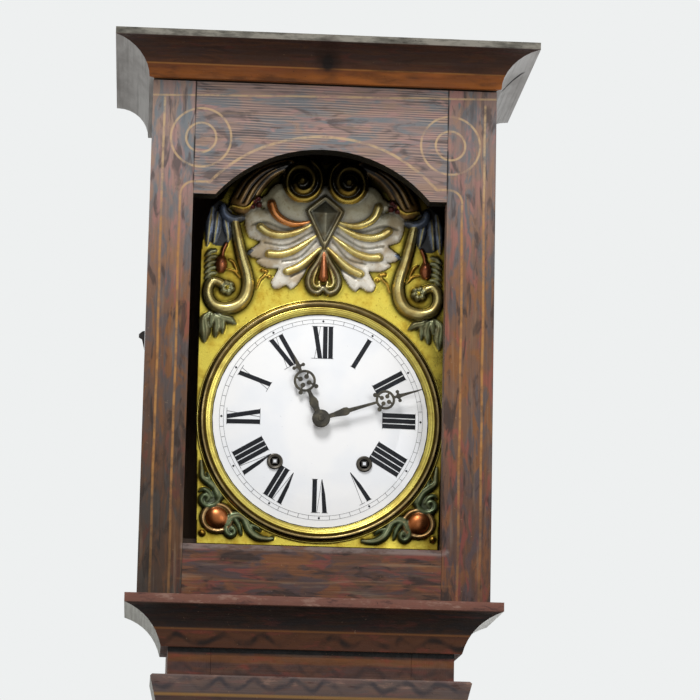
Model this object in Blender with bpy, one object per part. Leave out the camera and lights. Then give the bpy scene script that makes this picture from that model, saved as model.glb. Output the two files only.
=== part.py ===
"""Comtoise clock: painted long case, iron cage movement, enamel dial in an embossed brass frontal.

Sizes are in millimetres and are scaled to metres as the meshes are made. The clock stands on z = 0, is
centred on x = 0, faces -Y and leans its back on the plane y = BACK.
"""

import math

import bmesh
import bpy
from mathutils import Matrix, Vector

MM = 0.001
GAP = 0.3

# Case, from the photograph
DIAL_Z = 1960.0
DIAL_X = 6.1
CROWN_OUT = 46.8
CASE_DEPTH = 251.8
DOOR_Y = (CROWN_OUT - CASE_DEPTH) / 2
BACK = DOOR_Y + CASE_DEPTH
HOOD_HALF = 179.0
CROWN_HALF = 219.0
CROWN_FILLET = 7.4
CROWN_FOOT = 5.0
DOOR_TOP = DIAL_Z + 340.9
DOOR_BOTTOM = DIAL_Z - 192.8
CROWN_TOP = DOOR_TOP + 42.1
DOOR_THICK = 22.0
DOOR_CLEAR = 2.0
STILE_LEFT = 44.6
STILE_RIGHT = 50.4
OPENING_BOTTOM = DIAL_Z - 141.6
SHOULDER_Z = DIAL_Z + 221.5
SHOULDER_WIDTH = 20.5
ARCH_RISE = 51.2
ARCH_SHIFT = 2.5
NECK_HALF = 145.6
NECK_Y = DOOR_Y + 27.0
CORNICE_OUT = 45.4
CORNICE_FILLET = 9.0
CORNICE_COVE = 40.4
CORNICE_FOOT = 7.4
CORNICE_SAG = 7.8
NECK_BAND = 28.5
RETURN_SHORT = 108.0
COLLAR_OUT = 17.0
COLLAR_HEIGHT = 48.0

# Case below the photograph, of ordinary size for such a clock
BOARD = 16.0
BACKBOARD = 15.0
BASE_OUT = 37.0
BASE_HEIGHT = 520.0
SKIRT_HEIGHT = 90.0
SKIRT_THICK = 12.0
BASE_TOP_THICK = 18.0
BASE_COVE = 36.0
FRAME_THICK = 18.0
TRUNK_OPEN_HALF = 102.0
TRUNK_OPEN_LOW = 610.0
TRUNK_OPEN_HIGH = 1590.0
TRUNK_DOOR_CLEAR = 1.5
PIVOT_R = 3.0
PIVOT_HOLE_R = 3.4
PIVOT_LONG = 8.0
KNOB_R = 13.0
KNOB_IN = 19.0
PULL_Z = DIAL_Z + 71.5
PULL_OUT = 6.0
PULL_TAIL = 14.0
PULL_THICK = 4.0

# Derived levels of the case
CORNICE_TOP = DOOR_BOTTOM - DOOR_CLEAR
MOULD_BACK = BACK - RETURN_SHORT
CORNICE_BOTTOM = CORNICE_TOP - CORNICE_FILLET - CORNICE_COVE
COLLAR_TOP = CORNICE_BOTTOM - NECK_BAND
CROWN_BOTTOM = DOOR_TOP + DOOR_CLEAR
TRUNK_FOOT = BASE_HEIGHT + GAP + BASE_TOP_THICK + GAP
BASE_HALF = NECK_HALF + BASE_OUT
BASE_Y = NECK_Y - BASE_OUT
FRAME_BACK = NECK_Y + FRAME_THICK
BOARD_BACK = BACK - BACKBOARD
DOOR_BACK = DOOR_Y + DOOR_THICK
DOOR_LEFT_IN = -HOOD_HALF + STILE_LEFT
DOOR_RIGHT_IN = HOOD_HALF - STILE_RIGHT
DOOR_AXIS = (HOOD_HALF - DOOR_THICK / 2, DOOR_Y + DOOR_THICK / 2, 0.0)
TRUNK_DOOR_HALF = TRUNK_OPEN_HALF - 1.0
TRUNK_AXIS = (TRUNK_DOOR_HALF - FRAME_THICK / 2, NECK_Y + FRAME_THICK / 2, 0.0)

# Movement, drawn about the dial's own centre line: cage and dial
MOVEMENT = (DIAL_X, 0.0, 0.0)
DIAL_SET_BACK = 69.7
DIAL_ROOM = 24.8
PENDULUM_ROOM = 49.3
DIAL_Y = DOOR_Y + DIAL_SET_BACK
CAGE_FRONT = DIAL_Y + DIAL_ROOM
CAGE_BACK = BACK - PENDULUM_ROOM
CAGE_DEPTH = CAGE_BACK - CAGE_FRONT
CAGE_HALF = 118.0
CAGE_HALF_HEIGHT = 126.0
CAGE_LOW = DIAL_Z - CAGE_HALF_HEIGHT
CAGE_HIGH = DIAL_Z + CAGE_HALF_HEIGHT
SEAT_THICK = 18.0
SEAT_FRONT = CAGE_FRONT - 12.0
SEAT_BACK = CAGE_BACK - 8.0
SHEET = 4.0
SHEET_LIP = 1.0
POST = 8.0
SEAT_TOP = CAGE_LOW - GAP
ENAMEL_R = 112.2
ENAMEL_RIM_Y = DIAL_Y + 2.0
ENAMEL_DOME = 6.0
ENAMEL_THICK = 3.0
BEZEL_IN = 112.6
BEZEL_OUT = 125.0
PLATE_FRONT = DIAL_Y + 5.5
PLATE_THICK = 2.0
BACKPLATE_THICK = 2.0
PLATE_HALF = 126.0
PLATE_BOTTOM = DIAL_Z - 132.0
WIND_X = 46.5
WIND_Z = -45.0
WIND_HOLE_R = 7.8
HANDS_HOLE_R = 6.5
PLATE_BACK = PLATE_FRONT + PLATE_THICK
BACKPLATE_Y = PLATE_BACK + GAP

# Trains: teeth and modules
GREAT_TEETH = 72
PINION_TEETH = 8
CENTRE_TEETH = 60
THIRD_TEETH = 64
ESCAPE_TEETH = 30
PIN_WHEEL_TEETH = 60
WARNING_TEETH = 48
CANNON_TEETH = 12
MINUTE_TEETH = 36
MINUTE_PINION_TEETH = 10
HOUR_TEETH = 40
CENTRE_MODULE = 1.2
THIRD_MODULE = 1.05
PIN_MODULE = 1.2
WARNING_MODULE = 1.0
CANNON_MODULE = 1.0
ESCAPE_R = 26.0
FLY_R = 20.0
WHEEL_THICK = 2.0
PINION_LONG = CAGE_DEPTH / 12
ARBOR_R = 2.5
PIVOT_TIP_R = 1.5
PIVOT_BORE_R = 1.8
WIND_ARBOR_R = 4.0
WIND_BORE_R = 4.4
WIND_SQUARE = 6.0
DRUM_R = 16.0
ROPE_R = 1.2
ROPE_OUT = DRUM_R + ROPE_R + GAP
ROPE_HOLE_R = 6.0

# Places of the arbors in the dial plane, from the dial centre
GOING = (WIND_X, WIND_Z)
STRIKE = (-WIND_X, WIND_Z)
CENTRE = (0.0, 0.0)
GREAT_MODULE = 2 * math.hypot(WIND_X, WIND_Z) / (GREAT_TEETH + PINION_TEETH)


def plane(share):
    """The y of a plane in the cage, as a share of its depth from the front."""
    return CAGE_FRONT + share * CAGE_DEPTH


def beyond(start, distance, x):
    """The place at that distance above start which has the given x."""
    return (x, start[1] + math.sqrt(distance ** 2 - (x - start[0]) ** 2))


THIRD = beyond(CENTRE, (CENTRE_TEETH + PINION_TEETH) * CENTRE_MODULE / 2, 30.0)
ESCAPE = beyond(THIRD, (THIRD_TEETH + PINION_TEETH) * THIRD_MODULE / 2, 0.0)
ANCHOR = (0.0, ESCAPE[1] + 36.0)
PENDULUM = (0.0, ANCHOR[1] + 14.0)
PIN_WHEEL = beyond(STRIKE, (GREAT_TEETH + PINION_TEETH) * GREAT_MODULE / 2, -WIND_X)
WARNING = beyond(PIN_WHEEL, (PIN_WHEEL_TEETH + PINION_TEETH) * PIN_MODULE / 2, -WIND_X)
FLY = beyond(WARNING, (WARNING_TEETH + PINION_TEETH) * WARNING_MODULE / 2, -WIND_X)
MINUTE_STUD = (0.0, -(CANNON_TEETH + MINUTE_TEETH) * CANNON_MODULE / 2)
HOUR_MODULE = -2 * MINUTE_STUD[1] / (MINUTE_PINION_TEETH + HOUR_TEETH)

# Hands, bell, pendulum and weights
DRUM_LOW = plane(0.287)
DRUM_HIGH = plane(0.787)
ROPE_Y = plane(0.537)
MINUTE_ANGLE = 72.0
HOUR_ANGLE = 336.0
HAND_THICK = 1.2
HOUR_HAND_Y = DIAL_Y - 9.8
MINUTE_HAND_Y = DIAL_Y - 13.2
BOSS_R = 9.4
CANNON_R = 3.0
HOUR_PIPE_IN = 3.5
HOUR_PIPE_OUT = 5.0
BELL_R = 42.0
BELL_HEIGHT = 38.0
BELL_THICK = 2.5
BELL_Y = plane(0.5)
BELL_RIM_Z = DIAL_Z + 150.0
HAMMER = (-62.0, 133.0)
PENDULUM_LONG = 994.0
PENDULUM_Y = CAGE_BACK + 6.0
ROD_WIDE = 8.0
ROD_THICK = 3.0
BOB_R = 75.0
BOB_THICK = 24.0
CRUTCH_LONG = 120.0
WEIGHT_R = 26.0
WEIGHT_LONG = 270.0
WEIGHT_REST_Z = TRUNK_FOOT + 22.0

# Finishes: colour, roughness, metallic
PAINTED = ((0.28, 0.15, 0.11), 0.55, 0.0)
BARE_WOOD = ((0.36, 0.32, 0.28), 0.75, 0.0)
IRON = ((0.09, 0.085, 0.08), 0.5, 0.9)
STEEL = ((0.35, 0.34, 0.32), 0.35, 1.0)
BRASS = ((0.72, 0.5, 0.2), 0.32, 1.0)
BRONZE = ((0.12, 0.09, 0.06), 0.4, 0.8)
ENAMEL = ((0.85, 0.85, 0.83), 0.15, 0.0)
ROPE = ((0.45, 0.37, 0.26), 0.9, 0.0)


def clear_scene():
    for item in list(bpy.data.objects):
        bpy.data.objects.remove(item, do_unlink=True)


def finish_material(name, finish):
    color, roughness, metallic = finish
    mat = bpy.data.materials.new(name)
    mat.use_nodes = True
    shader = mat.node_tree.nodes["Principled BSDF"]
    shader.inputs["Base Color"].default_value = (*color, 1.0)
    shader.inputs["Roughness"].default_value = roughness
    shader.inputs["Metallic"].default_value = metallic
    mat.diffuse_color = (*color, 1.0)
    return mat


def outward(bm):
    bmesh.ops.recalc_face_normals(bm, faces=bm.faces)
    return bm


def to_xyz(axis, a, b, along):
    if axis == "X":
        return (along, a, b)
    if axis == "Y":
        return (a, along, b)
    return (a, b, along)


def prism(outline, axis, low, high):
    """An outline of (a, b) points drawn out along an axis."""
    bm = bmesh.new()
    near = [bm.verts.new(to_xyz(axis, a, b, low)) for a, b in outline]
    far = [bm.verts.new(to_xyz(axis, a, b, high)) for a, b in outline]
    bm.faces.new(near)
    bm.faces.new(far)
    join_rings(bm, near, far)
    return outward(bm)


def join_rings(bm, first, second):
    """Faces between two closed rings of points, either of which may be one point."""
    count = max(len(first), len(second))
    for i in range(count):
        j = (i + 1) % count
        near = [first[i % len(first)], first[j % len(first)]]
        far = [second[j % len(second)], second[i % len(second)]]
        bm.faces.new(list(dict.fromkeys(near + far)))


def turned(profile, axis, segments, closed=False):
    """A profile of (radius, along) points turned about an axis; a radius of 0 is a point on the axis."""
    bm = bmesh.new()
    rings = []
    for radius, along in profile:
        angles = [2 * math.pi * i / segments for i in range(segments)] if radius else [0.0]
        circle = [(radius * math.cos(angle), radius * math.sin(angle)) for angle in angles]
        rings.append([bm.verts.new(to_xyz(axis, a, b, along)) for a, b in circle])
    for first, second in zip(rings, rings[1:]):
        join_rings(bm, first, second)
    if closed:
        join_rings(bm, rings[-1], rings[0])
    else:
        for ring in (rings[0], rings[-1]):
            if len(ring) > 1:
                bm.faces.new(ring)
    return outward(bm)


def rod(radius, axis, low, high, segments=8):
    return turned([(radius, low), (radius, high)], axis, segments)


def box(x0, x1, y0, y1, z0, z1):
    return prism([(x0, y0), (x1, y0), (x1, y1), (x0, y1)], "Z", z0, z1)


def hull(points):
    bm = bmesh.new()
    for point in points:
        bm.verts.new(point)
    made = bmesh.ops.convex_hull(bm, input=bm.verts)
    spare = [item for item in made["geom_interior"] if isinstance(item, bmesh.types.BMVert)]
    bmesh.ops.delete(bm, geom=spare, context="VERTS")
    return outward(bm)


def shifted(bm, x=0.0, y=0.0, z=0.0):
    bmesh.ops.translate(bm, verts=bm.verts, vec=(x, y, z))
    return bm


def as_object(name, bm):
    bmesh.ops.scale(bm, verts=bm.verts, vec=(MM, MM, MM))
    mesh = bpy.data.meshes.new(name)
    bm.to_mesh(mesh)
    bm.free()
    obj = bpy.data.objects.new(name, mesh)
    bpy.context.scene.collection.objects.link(obj)
    return obj


def boolean(obj, tools, operation):
    """Join the tools to the object, or cut them from it, and keep the resulting mesh."""
    helpers = []
    for tool in tools:
        helper = as_object("helper", tool)
        modifier = obj.modifiers.new(operation, "BOOLEAN")
        modifier.operation = operation
        modifier.solver = "EXACT"
        modifier.object = helper
        helpers.append(helper)
    depsgraph = bpy.context.evaluated_depsgraph_get()
    obj.data = bpy.data.meshes.new_from_object(obj.evaluated_get(depsgraph))
    obj.modifiers.clear()
    for helper in helpers:
        bpy.data.objects.remove(helper, do_unlink=True)


def put(name, bm, finish, origin=(0.0, 0.0, 0.0), add=(), cut=(), smooth=False):
    """Make a node from solids drawn about its origin, which for a moving piece lies on its axis."""
    obj = as_object(name, bm)
    if add:
        boolean(obj, add, "UNION")
    if cut:
        boolean(obj, cut, "DIFFERENCE")
    obj.data.name = name
    obj.data.materials.clear()
    obj.data.materials.append(finish_material(name, finish))
    if smooth:
        obj.data.shade_smooth()
        obj.data.set_sharp_from_angle(angle=math.radians(35))
    obj.location = Vector(origin) * MM
    return obj


def put_about(name, bm, finish, axis_point, add=(), cut=(), smooth=False):
    """Like put, for solids drawn in world places."""
    back = [-value for value in axis_point]
    for solid in (bm, *add, *cut):
        shifted(solid, *back)
    return put(name, bm, finish, axis_point, add, cut, smooth)


def arc(centre, radius_a, radius_b, start, end, steps):
    """Points along part of an ellipse, angles in degrees."""
    points = []
    for i in range(steps + 1):
        angle = math.radians(start + (end - start) * i / steps)
        points.append((centre[0] + radius_a * math.cos(angle), centre[1] + radius_b * math.sin(angle)))
    return points


def wrap_stations(half, front, back, side_share=1.0):
    """Where a moulding's profile stands as it runs round the left side, the front and the right side."""
    return [
        lambda out, z: (-half - out * side_share, back, z),
        lambda out, z: (-half - out * side_share, front - out, z),
        lambda out, z: (half + out * side_share, front - out, z),
        lambda out, z: (half + out * side_share, back, z),
    ]


def moulding(profile, stations):
    bm = bmesh.new()
    loops = [[bm.verts.new(station(out, z)) for out, z in profile] for station in stations]
    for first, second in zip(loops, loops[1:]):
        join_rings(bm, first, second)
    bm.faces.new(loops[0])
    bm.faces.new(loops[-1])
    return outward(bm)


def base():
    skirt = [(GAP, 0.0), (SKIRT_THICK, 0.0), (SKIRT_THICK, SKIRT_HEIGHT - 10.0), (4.0, SKIRT_HEIGHT),
             (GAP, SKIRT_HEIGHT)]
    put("plinth_skirting", moulding(skirt, wrap_stations(BASE_HALF, BASE_Y, BACK)), PAINTED)
    front = box(-BASE_HALF, BASE_HALF, BASE_Y, BASE_Y + BOARD, 0.0, BASE_HEIGHT)
    raise_panel(front, 60.0, 5.0)
    put("base_front", front, PAINTED)
    for side, name in ((-1, "left"), (1, "right")):
        inner, outer = sorted((side * (BASE_HALF - BOARD), side * BASE_HALF))
        put("base_side_" + name, box(inner, outer, BASE_Y + BOARD + GAP, BACK, 0.0, BASE_HEIGHT), BARE_WOOD)
    notch = NECK_HALF - BOARD
    right = [(BASE_HALF, BASE_Y), (BASE_HALF, BACK), (notch, BACK), (notch, BOARD_BACK - GAP)]
    left = [(-x, y) for x, y in reversed(right)]
    top = BASE_HEIGHT + GAP
    put("base_top_board", prism(right + left, "Z", top, top + BASE_TOP_THICK), PAINTED)
    low = TRUNK_FOOT
    curve = arc((BASE_OUT, low + BASE_COVE), BASE_OUT - 5.0, BASE_COVE - 8.0, 270.0, 180.0, 6)
    profile = [(GAP, low), (BASE_OUT, low), *curve, (GAP, low + BASE_COVE)]
    put("base_top_moulding", moulding(profile, wrap_stations(NECK_HALF, NECK_Y, BACK)), PAINTED)


def raise_panel(bm, margin, depth):
    """Sink a border into the front face of a board, leaving a raised field."""
    front = min(bm.faces, key=lambda face: face.calc_center_median().y)
    bmesh.ops.inset_region(bm, faces=[front], thickness=margin)
    bmesh.ops.inset_region(bm, faces=[front], thickness=3.0, depth=-depth)
    bmesh.ops.inset_region(bm, faces=[front], thickness=16.0, depth=depth - 1.0)


def backboard():
    hood = HOOD_HALF - BOARD - GAP
    trunk = NECK_HALF - BOARD - GAP
    foot = BASE_HALF - BOARD - GAP
    right = [(foot, 0.0), (foot, BASE_HEIGHT), (trunk, BASE_HEIGHT), (trunk, CORNICE_TOP + GAP),
             (hood, CORNICE_TOP + GAP), (hood, CROWN_BOTTOM - GAP)]
    left = [(-x, z) for x, z in reversed(right)]
    put("backboard", prism(right + left, "Y", BOARD_BACK, BACK), BARE_WOOD)


def trunk():
    for side, name in ((-1, "left"), (1, "right")):
        inner, outer = sorted((side * (NECK_HALF - BOARD), side * NECK_HALF))
        front, notch, top = FRAME_BACK + GAP, BOARD_BACK - GAP, SEAT_TOP - SEAT_THICK - GAP
        outline = [(front, TRUNK_FOOT), (BACK, TRUNK_FOOT), (BACK, CORNICE_TOP), (notch, CORNICE_TOP),
                   (notch, top), (front, top)]
        put("trunk_side_" + name, prism(outline, "X", inner, outer), BARE_WOOD)
        inner, outer = sorted((side * TRUNK_OPEN_HALF, side * NECK_HALF))
        put("trunk_stile_" + name, box(inner, outer, NECK_Y, FRAME_BACK, TRUNK_FOOT, CORNICE_TOP), PAINTED)
    inside = TRUNK_OPEN_HALF - GAP
    rails = (("bottom", TRUNK_FOOT, TRUNK_OPEN_LOW, -1), ("top", TRUNK_OPEN_HIGH, CORNICE_TOP, 1))
    for name, low, high, toward in rails:
        edge = TRUNK_OPEN_LOW if toward < 0 else TRUNK_OPEN_HIGH
        span = sorted((edge - toward * 1.0, edge + toward * (PIVOT_LONG + 2.0)))
        hole = shifted(rod(PIVOT_HOLE_R, "Z", *span), *TRUNK_AXIS[:2])
        put("trunk_rail_" + name, box(-inside, inside, NECK_Y, FRAME_BACK, low, high), PAINTED, cut=[hole])
    top = COLLAR_TOP
    profile = [(GAP, top - COLLAR_HEIGHT), (3.0, top - COLLAR_HEIGHT),
               *arc((11.0, top - COLLAR_HEIGHT), 7.0, 16.0, 180.0, 90.0, 4),
               (11.0, top - 27.0), (COLLAR_OUT, top - 2.0), (COLLAR_OUT - 2.0, top), (GAP, top)]
    put("trunk_top_moulding", moulding(profile, wrap_stations(NECK_HALF, NECK_Y, MOULD_BACK)), PAINTED)


def trunk_door():
    low = TRUNK_OPEN_LOW + TRUNK_DOOR_CLEAR
    high = TRUNK_OPEN_HIGH - TRUNK_DOOR_CLEAR
    round_edge = arc(TRUNK_AXIS[:2], FRAME_THICK / 2, FRAME_THICK / 2, -90.0, 90.0, 8)
    outline = [(-TRUNK_DOOR_HALF, NECK_Y), *round_edge, (-TRUNK_DOOR_HALF, FRAME_BACK)]
    board = prism(outline, "Z", low, high)
    raise_panel(board, 38.0, 5.0)
    pin = shifted(rod(PIVOT_R, "Z", low - PIVOT_LONG, high + PIVOT_LONG), *TRUNK_AXIS[:2])
    put_about("trunk_door", board, PAINTED, TRUNK_AXIS, add=[pin])
    profile = [(0.0, -GAP), (5.0, -GAP), (5.0, -8.0), (KNOB_R, -14.0), (KNOB_R, -20.0), (7.0, -26.0),
               (0.0, -27.0)]
    knob = shifted(turned(profile, "Y", 16), -TRUNK_DOOR_HALF + KNOB_IN, NECK_Y, (low + high) / 2)
    put_about("trunk_door_knob", knob, BRASS, TRUNK_AXIS, smooth=True)


def hollow(start, end, sag, steps):
    """Points of a shallow hollow between two points of a moulding's profile."""
    along = Vector(end) - Vector(start)
    across = Vector((along.y, -along.x)).normalized()
    shares = [i / steps for i in range(steps + 1)]
    return [tuple(Vector(start) + along * t + across * (4 * sag * t * (1 - t))) for t in shares]


def lower_cornice():
    top = CORNICE_TOP
    cove = hollow((CORNICE_OUT, top - CORNICE_FILLET), (CORNICE_FOOT, CORNICE_BOTTOM), CORNICE_SAG, 8)
    profile = [(GAP, top), (CORNICE_OUT, top), *cove, (GAP, CORNICE_BOTTOM)]
    hole = shifted(rod(PIVOT_HOLE_R, "Z", top - PIVOT_LONG - 2.0, top + 1.0), *DOOR_AXIS[:2])
    put("lower_cornice", moulding(profile, wrap_stations(NECK_HALF, NECK_Y, MOULD_BACK)), PAINTED, cut=[hole])


def hood_box():
    low = CORNICE_TOP + GAP
    for side, name in ((-1, "left"), (1, "right")):
        inner, outer = sorted((side * (HOOD_HALF - BOARD), side * HOOD_HALF))
        put("hood_side_" + name, box(inner, outer, DOOR_BACK + 1.0, BACK, low, CROWN_BOTTOM - GAP), BARE_WOOD)
    half = HOOD_HALF - GAP
    hole = shifted(rod(PIVOT_HOLE_R, "Z", CROWN_BOTTOM - 1.0, CROWN_BOTTOM + PIVOT_LONG + 2.0), *DOOR_AXIS[:2])
    top_board = box(-half, half, DOOR_Y + GAP, BACK, CROWN_BOTTOM, CROWN_BOTTOM + BOARD)
    put("hood_top_board", top_board, BARE_WOOD, cut=[hole])


def seat_board():
    low = SEAT_TOP - SEAT_THICK
    places = [DIAL_X + x for x in rope_places()]
    holes = [shifted(rod(ROPE_HOLE_R, "Z", low - 1.0, SEAT_TOP + 1.0), x, ROPE_Y) for x in places]
    put("seat_board", box(-NECK_HALF, NECK_HALF, SEAT_FRONT, SEAT_BACK, low, SEAT_TOP), BARE_WOOD, cut=holes)


def rope_places():
    return (-WIND_X + ROPE_OUT, WIND_X - ROPE_OUT)


def crown():
    cove_height = CROWN_TOP - CROWN_FILLET - CROWN_BOTTOM
    cove = arc((CROWN_OUT - 2.0, CROWN_BOTTOM), CROWN_OUT - 2.0 - CROWN_FOOT, cove_height, 90.0, 180.0, 8)
    fillet_bottom = CROWN_TOP - CROWN_FILLET
    profile = [(0.0, CROWN_BOTTOM), (0.0, CROWN_TOP), (CROWN_OUT, CROWN_TOP), (CROWN_OUT, fillet_bottom), *cove]
    share = (CROWN_HALF - HOOD_HALF) / CROWN_OUT
    left_back, left_front, right_front, right_back = wrap_stations(HOOD_HALF, DOOR_Y, BACK, share)
    put("crown_front", moulding(profile, [left_front, right_front]), PAINTED)
    for name, back_end, front_end in (("left", left_back, left_front), ("right", right_back, right_front)):
        front_clear = lambda out, z, end=front_end: tuple(map(sum, zip(end(out, z), (0.0, GAP, 0.0))))
        put("crown_return_" + name, moulding(profile, [back_end, front_clear]), BARE_WOOD)


def hood_door():
    low, high = DOOR_BOTTOM, DOOR_TOP
    left = box(-HOOD_HALF, DOOR_LEFT_IN, DOOR_Y, DOOR_BACK, low, high)
    put_about("hood_door_stile_left", left, PAINTED, DOOR_AXIS)
    edge = arc(DOOR_AXIS[:2], DOOR_THICK / 2, DOOR_THICK / 2, 0.0, 90.0, 6)
    outline = [(DOOR_RIGHT_IN, DOOR_Y), (HOOD_HALF - 1.0, DOOR_Y), (HOOD_HALF, DOOR_Y + 1.0), *edge,
               (DOOR_RIGHT_IN, DOOR_BACK)]
    pin = shifted(rod(PIVOT_R, "Z", low - PIVOT_LONG, high + PIVOT_LONG), *DOOR_AXIS[:2])
    put_about("hood_door_stile_right", prism(outline, "Z", low, high), PAINTED, DOOR_AXIS, add=[pin])
    x0 = DOOR_LEFT_IN + GAP
    x1 = DOOR_RIGHT_IN - GAP
    bottom = box(x0, x1, DOOR_Y, DOOR_BACK, low, OPENING_BOTTOM)
    put_about("hood_door_bottom_rail", bottom, PAINTED, DOOR_AXIS)
    half_chord = (DOOR_RIGHT_IN - DOOR_LEFT_IN) / 2 - SHOULDER_WIDTH
    radius = (half_chord ** 2 + ARCH_RISE ** 2) / (2 * ARCH_RISE)
    centre = ((x0 + x1) / 2 + ARCH_SHIFT, SHOULDER_Z + ARCH_RISE - radius)
    lean = math.degrees(math.asin(half_chord / radius))
    arch = arc(centre, radius, radius, 90.0 + lean, 90.0 - lean, 20)
    outline = [(x0, high), (x0, SHOULDER_Z), *arch, (x1, SHOULDER_Z), (x1, high)]
    put_about("hood_door_top_rail", prism(outline, "Y", DOOR_Y, DOOR_BACK), PAINTED, DOOR_AXIS)
    root = -HOOD_HALF - GAP
    catch = [(root, -PULL_TAIL), (root - 0.45 * PULL_OUT, -3.0), (root - PULL_OUT, -1.0),
             (root - PULL_OUT, 2.0), (root - 0.4 * PULL_OUT, 5.0), (root, 5.5)]
    front = DOOR_AXIS[1] - PULL_THICK / 2
    pull = shifted(prism(catch, "Y", front, front + PULL_THICK), 0.0, 0.0, PULL_Z)
    put_about("hood_door_pull", pull, IRON, DOOR_AXIS)


def local_point(place, y=0.0):
    """A place in the dial plane, as drawn about the dial's centre line."""
    return (place[0], y, DIAL_Z + place[1])


def dial_point(place):
    """The same place in the case."""
    return (DIAL_X + place[0], 0.0, DIAL_Z + place[1])


def bored(place, radius, low, high):
    """A cutter along Y at a place in the dial plane."""
    return shifted(rod(radius, "Y", low, high), *local_point(place))


def cage():
    x, y0, y1 = CAGE_HALF, CAGE_FRONT, CAGE_BACK
    sheet = (-x - SHEET_LIP, x + SHEET_LIP, y0 - SHEET_LIP, y1 + SHEET_LIP)
    pieces = [box(*sheet, CAGE_HIGH - SHEET, CAGE_HIGH)]
    for sx in (-1, 1):
        for y in (y0, y1 - POST):
            left, right = sorted((sx * x, sx * (x - POST)))
            pieces.append(box(left, right, y, y + POST, CAGE_LOW + 1.0, CAGE_HIGH - 1.0))
    for y in (y0, y1 - SHEET):
        for left, right in ((-WIND_X - 8.0, -WIND_X + 8.0), (-8.0, 8.0), (22.0, 56.0)):
            pieces.append(box(left, right, y, y + SHEET, CAGE_LOW + 1.0, CAGE_HIGH - 1.0))
    bell_inside = BELL_RIM_Z + BELL_HEIGHT - BELL_THICK
    pieces.append(shifted(rod(3.0, "Z", CAGE_HIGH - 1.0, bell_inside - GAP), 0.0, BELL_Y))
    ear_z = DIAL_Z + HAMMER[1]
    for y in (BELL_Y - 7.0, BELL_Y + 5.0):
        pieces.append(box(HAMMER[0] - 5.0, HAMMER[0] + 5.0, y, y + 2.0, CAGE_HIGH - 1.0, ear_z + 5.0))
    stud = shifted(rod(2.2, "Y", y1 - 1.0, PENDULUM_Y + ROD_THICK + 3.0), *local_point(PENDULUM))
    pieces.append(stud)
    low, high = CAGE_LOW - 1.0, CAGE_LOW + SHEET + 1.0
    holes = [shifted(rod(ROPE_HOLE_R, "Z", low, high), rope_x, ROPE_Y) for rope_x in rope_places()]
    for place in (CENTRE, THIRD, ESCAPE, ANCHOR, PIN_WHEEL, WARNING, FLY, MINUTE_STUD):
        holes.append(bored(place, PIVOT_BORE_R, y0 - 1.0, y0 + SHEET + 1.0))
    for place in (CENTRE, THIRD, ESCAPE, ANCHOR, PIN_WHEEL, WARNING, FLY, GOING, STRIKE):
        holes.append(bored(place, PIVOT_BORE_R, y1 - SHEET - 1.0, y1 + 1.0))
    for place in (GOING, STRIKE):
        holes.append(bored(place, WIND_BORE_R, y0 - 1.0, y0 + SHEET + 1.0))
    holes.append(bored(HAMMER, PIVOT_BORE_R, BELL_Y - 8.0, BELL_Y + 8.0))
    put("movement_cage", box(*sheet, CAGE_LOW, CAGE_LOW + SHEET), IRON, MOVEMENT, pieces, holes)


def dial():
    winders = (GOING, STRIKE)
    y0 = BACKPLATE_Y
    y1 = y0 + BACKPLATE_THICK
    feet = []
    for x in (-CAGE_HALF + POST / 2, CAGE_HALF - POST / 2):
        for z in (-100.0, 100.0):
            feet.append(shifted(rod(3.0, "Y", y1 - 1.0, CAGE_FRONT - GAP), x, 0.0, DIAL_Z + z))
    holes = [bored(place, WIND_HOLE_R, y0 - 1.0, y1 + 1.0) for place in winders]
    holes.append(bored(CENTRE, HANDS_HOLE_R, y0 - 1.0, y1 + 1.0))
    put("dial_backplate", box(-CAGE_HALF, CAGE_HALF, y0, y1, CAGE_LOW, CAGE_HIGH), IRON, MOVEMENT, feet, holes)
    rim = ENAMEL_RIM_Y
    steps = 4
    front = [(ENAMEL_R * i / steps, rim - ENAMEL_DOME * (1 - (i / steps) ** 2)) for i in range(steps + 1)]
    rear = [(r, y + ENAMEL_THICK) for r, y in reversed(front)]
    holes = [bored(place, WIND_HOLE_R, rim - 30.0, rim + 30.0) for place in winders]
    holes.append(bored(CENTRE, HANDS_HOLE_R, rim - 30.0, rim + 30.0))
    enamel = shifted(turned(front + rear, "Y", 48), *local_point(CENTRE))
    put("enamel_dial", enamel, ENAMEL, MOVEMENT, cut=holes, smooth=True)
    middle = (BEZEL_IN + BEZEL_OUT) / 2
    half = (BEZEL_OUT - BEZEL_IN) / 2
    face = PLATE_FRONT - GAP
    profile = [(BEZEL_IN, face), (BEZEL_IN, face - 8.0), (middle, face - 10.0),
               (middle + half * 0.6, face - 6.0), (BEZEL_OUT, face)]
    ring = shifted(turned(profile, "Y", 48, closed=True), *local_point(CENTRE))
    put("dial_bezel", ring, BRASS, MOVEMENT, smooth=True)


def frontal_outline():
    """Right half of the stamped plate, bottom to top, in the dial plane."""
    half = PLATE_HALF
    bottom = PLATE_BOTTOM - DIAL_Z
    return [(half, bottom), (half, 176.0), (124.0, 206.0), (118.0, 226.0), (108.0, 236.0), (102.0, 248.0),
            (90.0, 260.0), (72.0, 271.0), (52.0, 278.0), (38.0, 282.0), (25.0, 284.0), (12.0, 281.0)]


def relief_dome(place, wide, high, lift):
    """A low dome on the plate, of an oval outline."""
    x, y, z = local_point(place, PLATE_FRONT)
    points = [(x, y - lift, z)]
    for share, rise in ((1.0, -PLATE_THICK / 2), (0.75, lift * 0.65)):
        points += [(a, y - rise, b) for a, b in arc((x, z), wide * share, high * share, 0.0, 330.0, 11)]
    return hull(points)


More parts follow.
